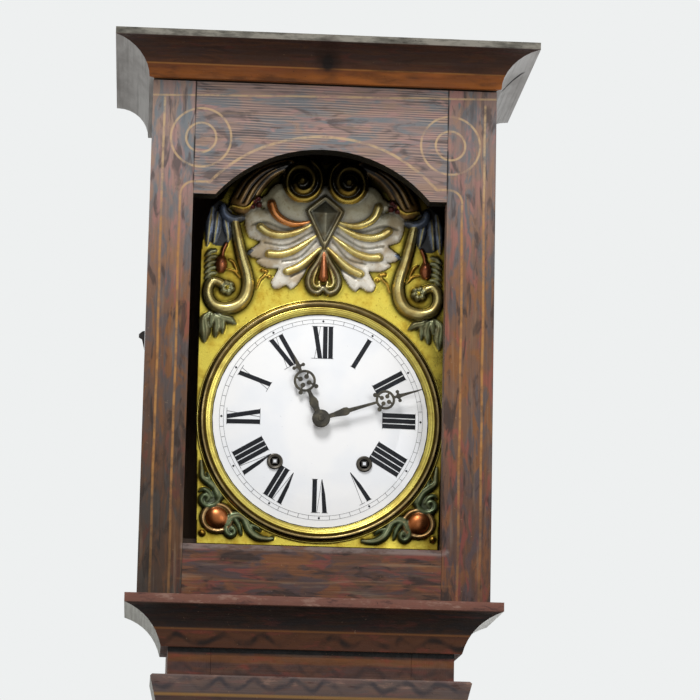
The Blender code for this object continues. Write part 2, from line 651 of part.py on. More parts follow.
def relief_ring(place, radius, tube, lift):
    x, y, z = local_point(place, PLATE_FRONT)
    sunk = PLATE_THICK / 2
    half = tube / 2
    profile = [(radius - tube, sunk), (radius - half, -lift), (radius + half, -lift), (radius + tube, sunk)]
    return shifted(turned(profile, "Y", 16, closed=True), x, y, z)


def relief_bar(start, end, wide_start, wide_end, lift):
    """A ridge on the plate from one place to another."""
    x0, y, z0 = local_point(start, PLATE_FRONT)
    x1, y, z1 = local_point(end, PLATE_FRONT)
    across = Vector((z0 - z1, x1 - x0)).normalized()
    points = []
    for x, z, wide in ((x0, z0, wide_start), (x1, z1, wide_end)):
        for side in (-0.5, 0.5):
            points.append((x + across.x * wide * side, y + PLATE_THICK / 2, z + across.y * wide * side))
            points.append((x + across.x * wide * side * 0.4, y - lift, z + across.y * wide * side * 0.4))
    return hull(points)


def frontal():
    """The stamped frontal: a plate with shell, lozenge, volutes, scrolls, foliage and corner bosses."""
    right = [(x, DIAL_Z + z) for x, z in frontal_outline()]
    left = [(-x, z) for x, z in reversed(right)]
    kite = ((0.0, 182.0), (20.0, 224.0), (0.0, 239.0), (-20.0, 224.0))
    lozenge = [local_point(corner, PLATE_FRONT + PLATE_THICK / 2) for corner in kite]
    relief = [hull([local_point((0.0, 218.0), PLATE_FRONT - 11.0), *lozenge])]
    relief.append(relief_dome((0.0, 157.0), 9.0, 22.0, 8.0))
    shell_ribs = (((13.0, 209.0), (55.0, 228.0)), ((11.0, 197.0), (65.0, 204.0)),
                  ((8.0, 186.0), (54.0, 178.0)), ((7.0, 174.0), (34.0, 158.5)))
    for side in (-1, 1):
        mirrored = lambda place, side=side: (side * place[0], place[1])
        for start, end in shell_ribs:
            relief.append(relief_bar(mirrored(start), mirrored(end), 5.0, 9.0, 6.0))
            relief.append(relief_dome(mirrored((end[0] * 1.08, end[1])), 7.5, 7.5, 7.0))
        relief.append(relief_ring(mirrored((25.0, 258.0)), 14.0, 6.0, 7.0))
        relief.append(relief_bar(mirrored((94.0, 207.0)), mirrored((79.0, 144.0)), 13.0, 10.0, 6.5))
        relief.append(relief_ring(mirrored((104.0, 130.0)), 14.0, 6.5, 6.0))
        relief.append(relief_bar(mirrored((46.0, 269.0)), mirrored((78.0, 257.0)), 8.0, 14.0, 6.0))
        relief.append(relief_bar(mirrored((80.0, 256.0)), mirrored((95.0, 231.0)), 14.0, 18.0, 6.0))
        relief.append(relief_dome(mirrored((104.0, 166.0)), 8.0, 10.0, 6.0))
        relief.append(relief_dome(mirrored((110.0, 96.0)), 12.0, 11.0, 5.0))
        relief.append(relief_dome(mirrored((106.5, -106.0)), 14.0, 11.0, 8.0))
        relief.append(relief_bar(mirrored((119.0, -88.0)), mirrored((121.0, -48.0)), 11.0, 5.0, 4.5))
        relief.append(relief_bar(mirrored((90.0, -122.0)), mirrored((50.0, -125.0)), 11.0, 5.0, 4.5))
    window = shifted(rod(BEZEL_IN + 1.0, "Y", PLATE_FRONT - 30.0, PLATE_BACK + 1.0, 48), *local_point(CENTRE))
    put("brass_frontal", prism(right + left, "Y", PLATE_FRONT, PLATE_BACK), BRASS, MOVEMENT, relief, [window])


def gear(teeth, module, low, high, phase):
    """A toothed disc about the Y axis, with a tooth at the phase angle."""
    pitch = teeth * module / 2
    outline = []
    for i in range(teeth):
        for share, radius in ((0.0, pitch + 0.8 * module), (0.5, pitch - 1.1 * module)):
            angle = phase + 2 * math.pi * (i + share) / teeth
            outline.append((radius * math.cos(angle), radius * math.sin(angle)))
    return prism(outline, "Y", low, high)


def meshed_phase(first, second, teeth_first, phase_first, teeth_second):
    """Phase that puts a gap of the second gear against a tooth of the first."""
    toward = math.atan2(second[1] - first[1], second[0] - first[0])
    share = (toward - phase_first) * teeth_first / (2 * math.pi)
    return toward + math.pi - (0.5 - share) * 2 * math.pi / teeth_second


def arbor(front=CAGE_FRONT + 1.0, back=CAGE_BACK - 1.0):
    """A spindle between the cage bars, with thin pivots in their holes."""
    low = CAGE_FRONT + SHEET + GAP
    high = CAGE_BACK - SHEET - GAP
    profile = [(PIVOT_TIP_R, front), (PIVOT_TIP_R, low), (ARBOR_R, low), (ARBOR_R, high), (PIVOT_TIP_R, high),
               (PIVOT_TIP_R, back)]
    return turned(profile, "Y", 8)


def wheel(name, place, teeth, module, y, pinion_module, pinion_y, pinion_phase, front=CAGE_FRONT + 1.0):
    """A wheel and its driven pinion fixed on one spindle."""
    disc = gear(teeth, module, y, y + WHEEL_THICK, 0.0)
    pinion = gear(PINION_TEETH, pinion_module, pinion_y, pinion_y + PINION_LONG, pinion_phase)
    put(name, arbor(front), BRASS, dial_point(place), add=[disc, pinion])


def going_train():
    great_y = plane(0.222)
    barrel("going", GOING, 1, great_y)
    phase = meshed_phase(GOING, CENTRE, GREAT_TEETH, 0.0, PINION_TEETH)
    nose = CAGE_FRONT - 2.0
    wheel("centre_wheel", CENTRE, CENTRE_TEETH, CENTRE_MODULE, plane(0.111),
          GREAT_MODULE, plane(0.194), phase, nose)
    phase = meshed_phase(CENTRE, THIRD, CENTRE_TEETH, 0.0, PINION_TEETH)
    wheel("third_wheel", THIRD, THIRD_TEETH, THIRD_MODULE, plane(0.537), CENTRE_MODULE, plane(0.083), phase)
    phase = meshed_phase(THIRD, ESCAPE, THIRD_TEETH, 0.0, PINION_TEETH)
    escape_module = ESCAPE_R / (ESCAPE_TEETH / 2 + 0.8)
    wheel("escape_wheel", ESCAPE, ESCAPE_TEETH, escape_module, plane(0.861), THIRD_MODULE, plane(0.5), phase)


def barrel(name, place, side, great_y):
    """A rope drum with its winding square, and the great wheel that turns freely on its spindle."""
    high = CAGE_BACK - SHEET - GAP
    spindle = turned([(WIND_ARBOR_R, CAGE_FRONT - 6.0), (WIND_ARBOR_R, high), (PIVOT_TIP_R, high),
                      (PIVOT_TIP_R, CAGE_BACK - 1.0)], "Y", 10)
    half = WIND_SQUARE / 2
    square = box(-half, half, DIAL_Y - 5.0, CAGE_FRONT - 5.0, -half, half)
    drum = rod(DRUM_R, "Y", DRUM_LOW, DRUM_HIGH, 20)
    put(name + "_barrel", spindle, STEEL, dial_point(place), add=[square, drum])
    disc = gear(GREAT_TEETH, GREAT_MODULE, great_y, great_y + 3.0, 0.0)
    bore = rod(WIND_BORE_R, "Y", great_y - 1.0, great_y + 4.0)
    put(name + "_great_wheel", disc, BRASS, dial_point(place), cut=[bore])
    rope_x = DIAL_X + place[0] - side * ROPE_OUT
    top = DIAL_Z + place[1]
    weight_top = WEIGHT_REST_Z + WEIGHT_LONG + 30.0
    strand = rod(ROPE_R, "Z", weight_top + GAP - top, 0.0, 8)
    put(name + "_rope", strand, ROPE, (rope_x, ROPE_Y, top), smooth=True)
    long = WEIGHT_LONG
    profile = [(0.0, 0.0), (WEIGHT_R - 3.0, 0.0), (WEIGHT_R, 3.0), (WEIGHT_R, long - 8.0),
               (WEIGHT_R - 8.0, long), (4.0, long + 5.0), (4.0, long + 18.0),
               (7.0, long + 24.0), (0.0, long + 30.0)]
    put(name + "_weight", turned(profile, "Z", 16), IRON, (rope_x, ROPE_Y, WEIGHT_REST_Z), smooth=True)


def strike_train():
    great_y = plane(0.889)
    barrel("strike", STRIKE, -1, great_y)
    phase = meshed_phase(STRIKE, PIN_WHEEL, GREAT_TEETH, 0.0, PINION_TEETH)
    wheel("pin_wheel", PIN_WHEEL, PIN_WHEEL_TEETH, PIN_MODULE, plane(0.63), GREAT_MODULE, plane(0.861), phase)
    phase = meshed_phase(PIN_WHEEL, WARNING, PIN_WHEEL_TEETH, 0.0, PINION_TEETH)
    wheel("warning_wheel", WARNING, WARNING_TEETH, WARNING_MODULE, plane(0.352),
          PIN_MODULE, plane(0.593), phase)
    phase = meshed_phase(WARNING, FLY, WARNING_TEETH, 0.0, PINION_TEETH)
    vane = box(-FLY_R, FLY_R, plane(0.537), plane(0.852), -0.7, 0.7)
    pinion = gear(PINION_TEETH, WARNING_MODULE, plane(0.315), plane(0.407), phase)
    put("fly", arbor(), STEEL, dial_point(FLY), add=[pinion, vane])


def escapement():
    right = [(0.0, 6.0), (14.0, 0.0), (23.0, -13.0), (18.6, -15.5), (12.0, -6.0), (0.0, -4.0)]
    left = [(-x, z) for x, z in reversed(right[1:-1])]
    pallets = prism(right + left, "Y", plane(0.843), plane(0.898))
    crutch_y = CAGE_BACK + 1.0
    crutch = box(-2.0, 2.0, crutch_y, crutch_y + 2.0, -CRUTCH_LONG - 4.0, 3.0)
    fork_in = ROD_WIDE / 2 + 0.5
    back = PENDULUM_Y + ROD_THICK + 2.0
    wide = fork_in + 3.0
    yoke = box(-wide, wide, crutch_y + 0.5, crutch_y + 2.5, -CRUTCH_LONG - 4.0, -CRUTCH_LONG + 4.0)
    prongs = []
    for side in (-1, 1):
        span = sorted((side * fork_in, side * (fork_in + 2.5)))
        prongs.append(box(*span, crutch_y + 1.0, back, -CRUTCH_LONG - 3.0, -CRUTCH_LONG + 3.0))
    put("anchor", arbor(back=crutch_y + 1.5), STEEL, dial_point(ANCHOR), add=[pallets, crutch, yoke, *prongs])


def pendulum():
    y0 = PENDULUM_Y - ROD_THICK / 2
    y1 = PENDULUM_Y + ROD_THICK / 2
    bob_top = -PENDULUM_LONG + BOB_R
    strip = box(-ROD_WIDE / 2, ROD_WIDE / 2, y0, y1, bob_top + GAP, -4.0)
    eye = rod(6.0, "Y", y0, y1, 16)
    put("pendulum_rod", strip, STEEL, dial_point(PENDULUM), add=[eye], cut=[rod(2.5, "Y", y0 - 1.0, y1 + 1.0)])
    half = BOB_THICK / 2
    profile = [(0.0, -half), (BOB_R * 0.55, -half * 0.85), (BOB_R * 0.9, -half * 0.4), (BOB_R, 0.0),
               (BOB_R * 0.9, half * 0.4), (BOB_R * 0.55, half * 0.85), (0.0, half)]
    bob = shifted(turned(profile, "Y", 24), 0.0, PENDULUM_Y, -PENDULUM_LONG)
    put("pendulum_bob", bob, BRASS, dial_point(PENDULUM), smooth=True)


def bell_and_hammer():
    outer = [(BELL_R, 0.0), (BELL_R - 3.0, BELL_HEIGHT * 0.4), (BELL_R * 0.75, BELL_HEIGHT * 0.8),
             (BELL_R * 0.3, BELL_HEIGHT)]
    inner = [(r - BELL_THICK, z - BELL_THICK if z else 0.0) for r, z in outer]
    profile = [(0.0, BELL_HEIGHT), *reversed(outer), *inner, (0.0, BELL_HEIGHT - BELL_THICK)]
    put("bell", turned(profile, "Z", 20), BRONZE, (DIAL_X, BELL_Y, BELL_RIM_Z), smooth=True)
    pin = rod(PIVOT_TIP_R, "Y", BELL_Y - 7.0, BELL_Y + 7.0)
    stem = prism([(-2.0, -1.0), (2.0, -1.5), (14.0, 19.0), (11.0, 21.0)], "Y", BELL_Y - 2.0, BELL_Y + 2.0)
    head = shifted(rod(5.0, "Y", BELL_Y - 4.0, BELL_Y + 4.0, 16), 12.5, 0.0, 21.0)
    put("hammer", rod(4.0, "Y", BELL_Y - 4.5, BELL_Y + 4.5), STEEL, dial_point(HAMMER), add=[pin, stem, head])


def turned_hand(parts, angle):
    """The parts of a hand drawn at twelve o'clock, turned clockwise to their place."""
    turn = Matrix.Rotation(math.radians(angle), 3, "Y")
    for bm in parts:
        bmesh.ops.rotate(bm, verts=bm.verts, cent=(0.0, 0.0, 0.0), matrix=turn)
    return parts


def roundel(radius, inner, along, low, high):
    profile = [(inner, low), (inner, high), (radius, high), (radius, low)]
    return shifted(turned(profile, "Y", 16, closed=True), 0.0, 0.0, along)


def symmetric(right):
    """A closed outline from its right half."""
    return right + [(-x, z) for x, z in reversed(right)]


def hands():
    y0, y1 = MINUTE_HAND_Y, MINUTE_HAND_Y + HAND_THICK
    arm = symmetric([(2.5, 7.0), (5.0, 18.0), (1.3, 30.0), (1.1, 59.0)])
    tip = symmetric([(1.4, 76.5), (6.0, 79.0), (1.6, 82.0), (0.5, 109.0)])
    parts = [prism(arm, "Y", y0, y1), roundel(10.0, 6.0, 67.5, y0, y1), prism(tip, "Y", y0, y1)]
    boss = turned([(0.0, y0 - 2.0), (3.0, y0 - 2.0), (BOSS_R, y0), (BOSS_R, y1), (0.0, y1)], "Y", 24)
    put("minute_hand", boss, BRONZE, dial_point(CENTRE), add=turned_hand(parts, MINUTE_ANGLE))
    y0, y1 = HOUR_HAND_Y, HOUR_HAND_Y + HAND_THICK
    arm = symmetric([(2.5, 7.0), (1.6, 20.0), (1.6, 32.0)])
    tip = symmetric([(1.6, 53.0), (6.0, 60.5), (1.6, 63.0), (0.5, 74.0)])
    parts = [prism(arm, "Y", y0, y1), roundel(11.5, 7.0, 42.5, y0, y1), prism(tip, "Y", y0, y1)]
    collar = turned([(HOUR_PIPE_IN, y0), (HOUR_PIPE_IN, y1), (BOSS_R, y1), (BOSS_R, y0)], "Y", 24, closed=True)
    put("hour_hand", collar, BRONZE, dial_point(CENTRE), add=turned_hand(parts, HOUR_ANGLE))


def motion_work():
    cannon_y = CAGE_FRONT - 5.5
    hour_y = CAGE_FRONT - 11.0
    pipe = rod(CANNON_R, "Y", MINUTE_HAND_Y + HAND_THICK + GAP, CAGE_FRONT - 2.0 - GAP)
    pinion = gear(CANNON_TEETH, CANNON_MODULE, cannon_y, cannon_y + 3.0, 0.0)
    put("cannon_pinion", pipe, STEEL, dial_point(CENTRE), add=[pinion])
    phase = meshed_phase(CENTRE, MINUTE_STUD, CANNON_TEETH, 0.0, MINUTE_TEETH)
    face = CAGE_FRONT - GAP
    profile = [(PIVOT_TIP_R, CAGE_FRONT + 3.0), (PIVOT_TIP_R, face), (ARBOR_R, face), (ARBOR_R, hour_y - 1.0)]
    disc = gear(MINUTE_TEETH, CANNON_MODULE, cannon_y + 0.5, cannon_y + 2.5, phase)
    pinion = gear(MINUTE_PINION_TEETH, HOUR_MODULE, hour_y - 0.5, cannon_y - 1.0, 0.0)
    put("minute_wheel", turned(profile, "Y", 8), BRASS, dial_point(MINUTE_STUD), add=[disc, pinion])
    phase = meshed_phase(MINUTE_STUD, CENTRE, MINUTE_PINION_TEETH, 0.0, HOUR_TEETH)
    pipe = rod(HOUR_PIPE_OUT, "Y", HOUR_HAND_Y + HAND_THICK + GAP, hour_y + 2.5)
    disc = gear(HOUR_TEETH, HOUR_MODULE, hour_y, hour_y + 2.0, phase)
    bore = rod(HOUR_PIPE_IN, "Y", HOUR_HAND_Y, hour_y + 4.0)
    put("hour_wheel", disc, BRASS, dial_point(CENTRE), add=[pipe], cut=[bore])


def build():
    clear_scene()
    base()
    backboard()
    trunk()
    trunk_door()
    lower_cornice()
    hood_box()
    seat_board()
    crown()
    hood_door()
    cage()
    dial()
    frontal()
    going_train()
    strike_train()
    escapement()
    pendulum()
    bell_and_hammer()
    hands()
    motion_work()


build()
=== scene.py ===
import math

import bmesh
import bpy
import numpy as np
from mathutils import Matrix, Vector


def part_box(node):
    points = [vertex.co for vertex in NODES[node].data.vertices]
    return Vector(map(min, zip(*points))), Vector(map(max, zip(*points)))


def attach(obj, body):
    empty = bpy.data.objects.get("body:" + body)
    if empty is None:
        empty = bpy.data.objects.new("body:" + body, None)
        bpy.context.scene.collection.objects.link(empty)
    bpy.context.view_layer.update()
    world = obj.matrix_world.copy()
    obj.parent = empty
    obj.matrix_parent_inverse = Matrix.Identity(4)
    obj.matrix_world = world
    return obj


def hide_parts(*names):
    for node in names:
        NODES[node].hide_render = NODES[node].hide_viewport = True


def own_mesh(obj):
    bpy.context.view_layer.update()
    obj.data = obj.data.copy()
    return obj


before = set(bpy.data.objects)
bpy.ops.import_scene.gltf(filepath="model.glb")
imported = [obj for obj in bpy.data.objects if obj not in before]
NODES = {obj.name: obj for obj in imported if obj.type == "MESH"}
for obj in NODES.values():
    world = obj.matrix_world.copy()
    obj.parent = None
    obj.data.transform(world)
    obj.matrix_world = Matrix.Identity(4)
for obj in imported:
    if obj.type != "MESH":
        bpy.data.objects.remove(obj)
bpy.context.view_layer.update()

# The row frame is in metres; MM turns a length in millimetres into metres.
MM = 0.001

# Camera, from a fit to the photograph
CAMERA_PLACE = (-0.17465, -3.34426, 1.40651)
CAMERA_YAW = 3.6306
CAMERA_PITCH = 10.736
CAMERA_ROLL = 1.2123
CAMERA_LENS = 165.9
SENSOR = 36.0

# Where things are, in millimetres
DIAL_X = 6.1
DIAL_Z = 1960.0
DIAL_RIM_Y = -30.8
DIAL_R = 112.2
DIAL_RISE = 6.0
DOOR_FRONT = -102.5
ARCH_CENTRE = (-0.3, 2086.9)
WINDERS = ((-46.5, -45.0), (46.5, -45.0))


def tone(red, green, blue):
    """A linear colour from everyday values of 0 to 255."""
    def linear(value):
        value = value / 255
        return value / 12.92 if value <= 0.04045 else ((value + 0.055) / 1.055) ** 2.4
    return (linear(red), linear(green), linear(blue), 1.0)


class Value:
    """The output of a material's node, with plain arithmetic that adds more nodes."""

    def __init__(self, g, socket):
        self.g = g
        self.socket = socket

    def __add__(self, other):
        return self.g.math("ADD", self, other)

    def __sub__(self, other):
        return self.g.math("SUBTRACT", self, other)

    def __mul__(self, other):
        return self.g.math("MULTIPLY", self, other)

    def __abs__(self):
        return self.g.math("ABSOLUTE", self)

    def ease(self, low, high, start=0, end=1, kind="SMOOTHSTEP"):
        """Goes softly from start to end as the value goes from low to high."""
        made = self.g.node("ShaderNodeMapRange", interpolation_type=kind)
        for socket, number in zip(made.inputs, (self, low, high, start, end)):
            self.g.feed(socket, number)
        return Value(self.g, made.outputs[0])

    def band(self, low, high, soft):
        """One between low and high, with soft ends."""
        return self.ease(low - soft, low + soft) * self.ease(high - soft, high + soft, 1, 0)


class Graph:
    """Short calls for building one material. Its colour is laid on in coats."""

    def __init__(self, name):
        self.material = bpy.data.materials.new(name)
        self.material.use_nodes = True
        self.tree = self.material.node_tree
        self.shader = self.tree.nodes["Principled BSDF"]
        self.place = self.node("ShaderNodeTexCoord").outputs["Object"]
        self.x, self.y, self.z = self.axes(self.place)
        self.colour = None

    def node(self, kind, **settings):
        made = self.tree.nodes.new(kind)
        for key, value in settings.items():
            setattr(made, key, value)
        return made

    def feed(self, socket, value):
        """Links a value to a socket, or writes a number or an everyday colour on it."""
        if isinstance(value, Value):
            self.tree.links.new(value.socket, socket)
        else:
            socket.default_value = tone(*value) if isinstance(value, tuple) else value

    def axes(self, vector):
        made = self.node("ShaderNodeSeparateXYZ")
        self.tree.links.new(vector, made.inputs[0])
        return [Value(self, socket) for socket in made.outputs]

    def normal(self):
        return self.axes(self.node("ShaderNodeNewGeometry").outputs["Normal"])

    def math(self, operation, a, b=0):
        made = self.node("ShaderNodeMath", operation=operation)
        self.feed(made.inputs[0], a)
        self.feed(made.inputs[1], b)
        return Value(self, made.outputs[0])

    def largest(self, values):
        total = values[0]
        for value in values[1:]:
            total = self.math("MAXIMUM", total, value)
        return total

    def noise(self, seed, scale, detail=3, roughness=0.55, distortion=0, along="X", draw=1):
        """A cloudy value, drawn out along an axis where draw is under one."""
        place = self.node("ShaderNodeMapping")
        self.tree.links.new(self.place, place.inputs["Vector"])
        place.inputs["Scale"].default_value = [draw if axis == along else 1 for axis in "XYZ"]
        place.inputs["Location"].default_value = (seed, 1.7 * seed, 2.3 * seed)
        made = self.node("ShaderNodeTexNoise")
        self.tree.links.new(place.outputs[0], made.inputs["Vector"])
        numbers = {"Scale": scale, "Detail": detail, "Roughness": roughness, "Distortion": distortion}
        for key, number in numbers.items():
            made.inputs[key].default_value = number
        return Value(self, made.outputs[0])

    def mix(self, share, a, b, blend="MIX"):
        made = self.node("ShaderNodeMix", data_type="RGBA", blend_type=blend)
        for number, value in ((0, share), (6, a), (7, b)):
            self.feed(made.inputs[number], value)
        return Value(self, made.outputs[2])

    def coat(self, share, tint):
        """Lays a tint over the colour so far."""
        self.colour = self.mix(share, self.colour, tint)

    def ramp(self, value, low, high, stops):
        """A colour from stops, each at its share of the way from low to high."""
        made = self.node("ShaderNodeValToRGB")
        self.feed(made.inputs[0], value.ease(low, high, kind="LINEAR"))
        points = made.color_ramp.elements
        while len(points) < len(stops):
            points.new(1.0)
        for point, (where, colour) in zip(points, stops):
            point.position = where
            point.color = tone(*colour)
        return Value(self, made.outputs[0])

    def finish(self, roughness, relief=None, depth=0, strength=1, **others):
        """Feeds the shader. The relief's depth is in millimetres; _ in a socket's name is a space."""
        if relief:
            bump = self.node("ShaderNodeBump")
            bump.inputs["Strength"].default_value = strength
            bump.inputs["Distance"].default_value = depth * MM
            self.feed(bump.inputs["Height"], relief)
            others["Normal"] = Value(self, bump.outputs[0])
        others.update(Base_Color=self.colour, Roughness=roughness)
        for key, value in others.items():
            self.feed(self.shader.inputs[key.replace("_", " ")], value)


def recipe(steps):
    """Turns steps on a graph into a function that makes the material from its name."""
    def made(name, *values, **settings):
        g = Graph(name)
        steps(g, *values, **settings)
        return g.material
    return made


def from_point(x, z, centre):
    """Distance in the front plane from a centre in millimetres."""
    across = x.g.math("POWER", x - centre[0] * MM, 2)
    rise = x.g.math("POWER", z - centre[1] * MM, 2)
    return x.g.math("SQRT", across + rise)


def line_mask(distance, half_width, soft=0.6):
    """One where a distance in metres is under half_width in millimetres."""
    return distance.ease((half_width + soft) * MM, (half_width - soft) * MM)


def ring_mask(x, z, centre, radius, half_width):
    return line_mask(abs(from_point(x, z, centre) - radius * MM), half_width)


# Painted wood. Each palette has a main, cool, warm, red and dark colour.
PALE = ((143, 121, 114), (106, 114, 119), (150, 124, 108), (158, 124, 118), (86, 76, 75))
WARM = ((110, 80, 62), (84, 76, 76), (126, 82, 46), (134, 78, 64), (60, 46, 40))
DEEP = ((84, 58, 45), (70, 57, 58), (110, 69, 42), (112, 58, 50), (42, 31, 28))
# A darker palette: painted shade for the left stile's foot
DEEP_SHADE = ((62, 45, 34), (56, 50, 45), (84, 55, 34), (72, 42, 32), (33, 25, 20))
CREAM_LINE = (198, 168, 126)
OCHRE_LINE = (172, 123, 68)
WORN = (152, 128, 104)
COMBED_LIGHT = (194, 162, 144)
DUST = (128, 112, 106)
DARK_GAP = (14, 11, 10)
SHADED_UNDERSIDE = (12, 9, 8)
SHADED_BARE_INSIDE = (30, 24, 20)

# How far brushed patches, long streaks and comb marks are drawn out along the grain
FLOW = 0.26
GRAIN = 0.07
COMB = 0.015
COMB_PITCH = 2.7

# Heights in metres where the paint of the door and of the case changes; up the door the paint goes from
# painted shade at its foot to painted light at its top
DOOR_FOOT = 1.80
TOP_LIT = (2.04, 2.24)
CREAM_FROM = (2.14, 2.22)
LINES_WORN = (1.79, 1.95)
CRACKS_FROM = (2.185, 2.195)
CASE_TOP = 1.7
HOOD_SIDE_INSIDE = (0.1625, 0.1655)

# The brushed lines, in millimetres: uprights with their tops, rings, rail lines, insets on panels
UPRIGHT_LINES = ((-166.5, 2283.0), (-147.5, 2180.0), (144.5, 2180.0), (167.0, 2286.0))
TOP_LINE = 2289.0
TOP_LINE_SLOPE = 0.024
CORNER_RINGS = ((-128.1, 2240.7), (131.2, 2241.6))
RING_RADII = (31.0, 15.5)
RAIL_LINES = (1802.0, 1782.0)
RAIL_REACH = 138.0
ARCH_LINE_R = 159.0
ARCH_LINE_FOOT = 2194.0
SHOULDER_REACH = (117.0, 132.5)
BENDS = ((-133.5, 2180.0), (130.5, 2180.0))
BEND_R = 14.0
PANEL_INSETS = (34.0, 44.0)
LINE_WOBBLE = 3.5


def blended(g, share, deep, pale):
    return [g.mix(share, low, high) for low, high in zip(deep, pale)]


def graining(g, along, palette, seed, comb=0.3):
    """Imitation graining: soft brushed patches of several colours over fine combed streaks."""
    g.colour, cool, warm, red, dark = palette
    for tint, shift, scale, low in ((cool, 0, 72, 0.44), (warm, 5, 84, 0.49), (red, 9, 92, 0.52),
                                    (dark, 13, 96, 0.53)):
        patch = g.noise(seed + shift, scale, 3, 0.55, 0.9, along, FLOW)
        g.coat(patch.ease(low, low + 0.14, 0, 0.88), tint)
    fine = g.noise(seed, 330, 3, 0.7, 0, along, COMB)
    long = g.noise(seed + 3, 150, 3, 0.6, 0, along, GRAIN)
    g.coat(fine.ease(0.36, 0.52, comb, 0), dark)
    g.coat(long.ease(0.56, 0.72, 0, comb), WORN)
    g.coat(long.ease(0.30, 0.44, comb, 0), dark)
    return fine


def wear(g, fine, amount=0.5):
    """Small rubbed spots and dark specks, then roughness and relief from the streaks."""
    rubbed = g.noise(3, 190, 5, 0.7)
    g.coat(rubbed.ease(0.64, 0.73, 0, amount), WORN)
    g.coat(g.noise(8, 420, 2).ease(0.72, 0.76, 0, 0.85), DARK_GAP)
    roughness = rubbed.ease(0.3, 0.75, 0.46, 0.72)
    g.finish(roughness, fine + rubbed * 0.4, 0.6, 0.7, Specular_IOR_Level=0.22)


def door_lines(g):
    """Brushed lines of the hood door: pairs up the stiles, rings at the corners, an arch line."""
    shift = (g.noise(21, 9, 1) - 0.5) * (LINE_WOBBLE * MM)
    x = g.x + shift
    z = g.z + shift
    off_middle = abs(x)
    level = z - x * TOP_LINE_SLOPE
    masks = [line_mask(abs(level - TOP_LINE * MM), 1.0)]
    for where, top in UPRIGHT_LINES:
        below = z.ease((top + 2) * MM, (top - 2) * MM)
        masks.append(line_mask(abs(x - where * MM), 1.2) * below)
    above = z.ease((ARCH_LINE_FOOT - 3) * MM, ARCH_LINE_FOOT * MM)
    masks.append(ring_mask(x, z, ARCH_CENTRE, ARCH_LINE_R, 1.4) * above)
    shoulder = off_middle.band(SHOULDER_REACH[0] * MM, SHOULDER_REACH[1] * MM, 1.0 * MM)
    masks.append(line_mask(abs(z - ARCH_LINE_FOOT * MM), 1.1) * shoulder)
    for centre in BENDS:
        outside = off_middle.ease((abs(centre[0]) - 1) * MM, (abs(centre[0]) + 1) * MM)
        upper = z.ease((centre[1] - 1) * MM, (centre[1] + 1) * MM)
        masks.append(ring_mask(x, z, centre, BEND_R, 1.1) * (outside * upper))
    masks += [ring_mask(x, z, centre, radius, 1.1) for centre in CORNER_RINGS for radius in RING_RADII]
    within = off_middle.ease((RAIL_REACH + 4) * MM, RAIL_REACH * MM, 0, 0.4)
    masks += [line_mask(abs(z - level * MM), 1.0) * within for level in RAIL_LINES]
    front = g.y.ease((DOOR_FRONT + 1.5) * MM, (DOOR_FRONT + 2.5) * MM, 1, 0)
    return g.largest(masks) * front


def ring_tint(g):
    """The bluish wash between the rings at the door's top corners."""
    masks = [ring_mask(g.x, g.z, centre, radius, half)
             for centre in CORNER_RINGS for radius, half in ((23, 7), (6, 6))]
    return g.largest(masks) * g.noise(37, 60).ease(0.44, 0.62, 0, 0.6)


def combing(g, seed, strength, dark):
    """Level strokes of a graining comb, coming and going."""
    phase = g.z * (1 / (COMB_PITCH * MM)) + g.noise(seed, 22, draw=0.15) * 5
    stroke = g.math("PINGPONG", phase, 0.5)
    patch = g.noise(seed + 4, 70, draw=0.3).ease(0.40, 0.62)
    g.coat(stroke.ease(0.22, 0.44) * patch * strength, dark)
    g.coat(stroke.ease(0.20, 0.06) * patch * (0.8 * strength), COMBED_LIGHT)


def joint_cracks(g):
    """Broken dark lines where the top rail meets the stiles."""
    joints = (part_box("hood_door_stile_left")[1].x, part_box("hood_door_stile_right")[0].x)
    lines = g.largest([line_mask(abs(g.x - joint), 0.8) for joint in joints])
    broken = g.noise(44, 160, along="Z", draw=0.3).ease(0.40, 0.54, 0.25, 0.9)
    return lines * broken * g.z.ease(*CRACKS_FROM)


def ledge_dust(g):
    """Pale dust along the top of the bottom rail."""
    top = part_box("hood_door_bottom_rail")[1].z
    strip = g.z.band(top - 5.5 * MM, top + 1.0 * MM, 1.5 * MM)
    patch = g.noise(53, 120, 4, 0.7, draw=0.3).ease(0.40, 0.62, 0.15, 0.8)
    return strip * patch * abs(g.x).ease(RAIL_REACH * MM, (RAIL_REACH - 4) * MM)


def rubbed_lines(g, high):
    """How much is left of the brushed lines, from place to place."""
    return g.noise(30, 60, 4, 0.65).ease(0.36, high, 0.3, 0.85)


@recipe
def door_wood(g, along, seed, comb, combed=0, deep=DEEP, shade_until=2.00, top_light=1.0):
    """The hood door's paint, darker at its foot and paler at its top as painted shade and light, with lines,
    cracks and dust.
    """
    # Painted light and shade: the palettes go deep at the door's foot and pale towards its top.
    palette = blended(g, g.z.ease(DOOR_FOOT, shade_until), deep, WARM)
    palette = blended(g, g.z.ease(*TOP_LIT, 0, top_light), palette, PALE)
    fine = graining(g, along, palette, seed, comb)
    if combed:
        combing(g, seed, combed, palette[4])
    g.coat(ring_tint(g), palette[1])
    top = g.z.ease(*CREAM_FROM)
    strength = (rubbed_lines(g, 0.58) - top * 0.18) * g.z.ease(*LINES_WORN, 0.3, 1)
    g.coat(door_lines(g) * strength, g.mix(top, OCHRE_LINE, CREAM_LINE))
    g.coat(joint_cracks(g), DARK_GAP)
    g.coat(ledge_dust(g), DUST)
    # Painted shade: faces turned downward, such as the arch's bare soffit, go near black.
    g.coat(g.normal()[2].ease(-0.25, -0.45), SHADED_UNDERSIDE)
    wear(g, fine)


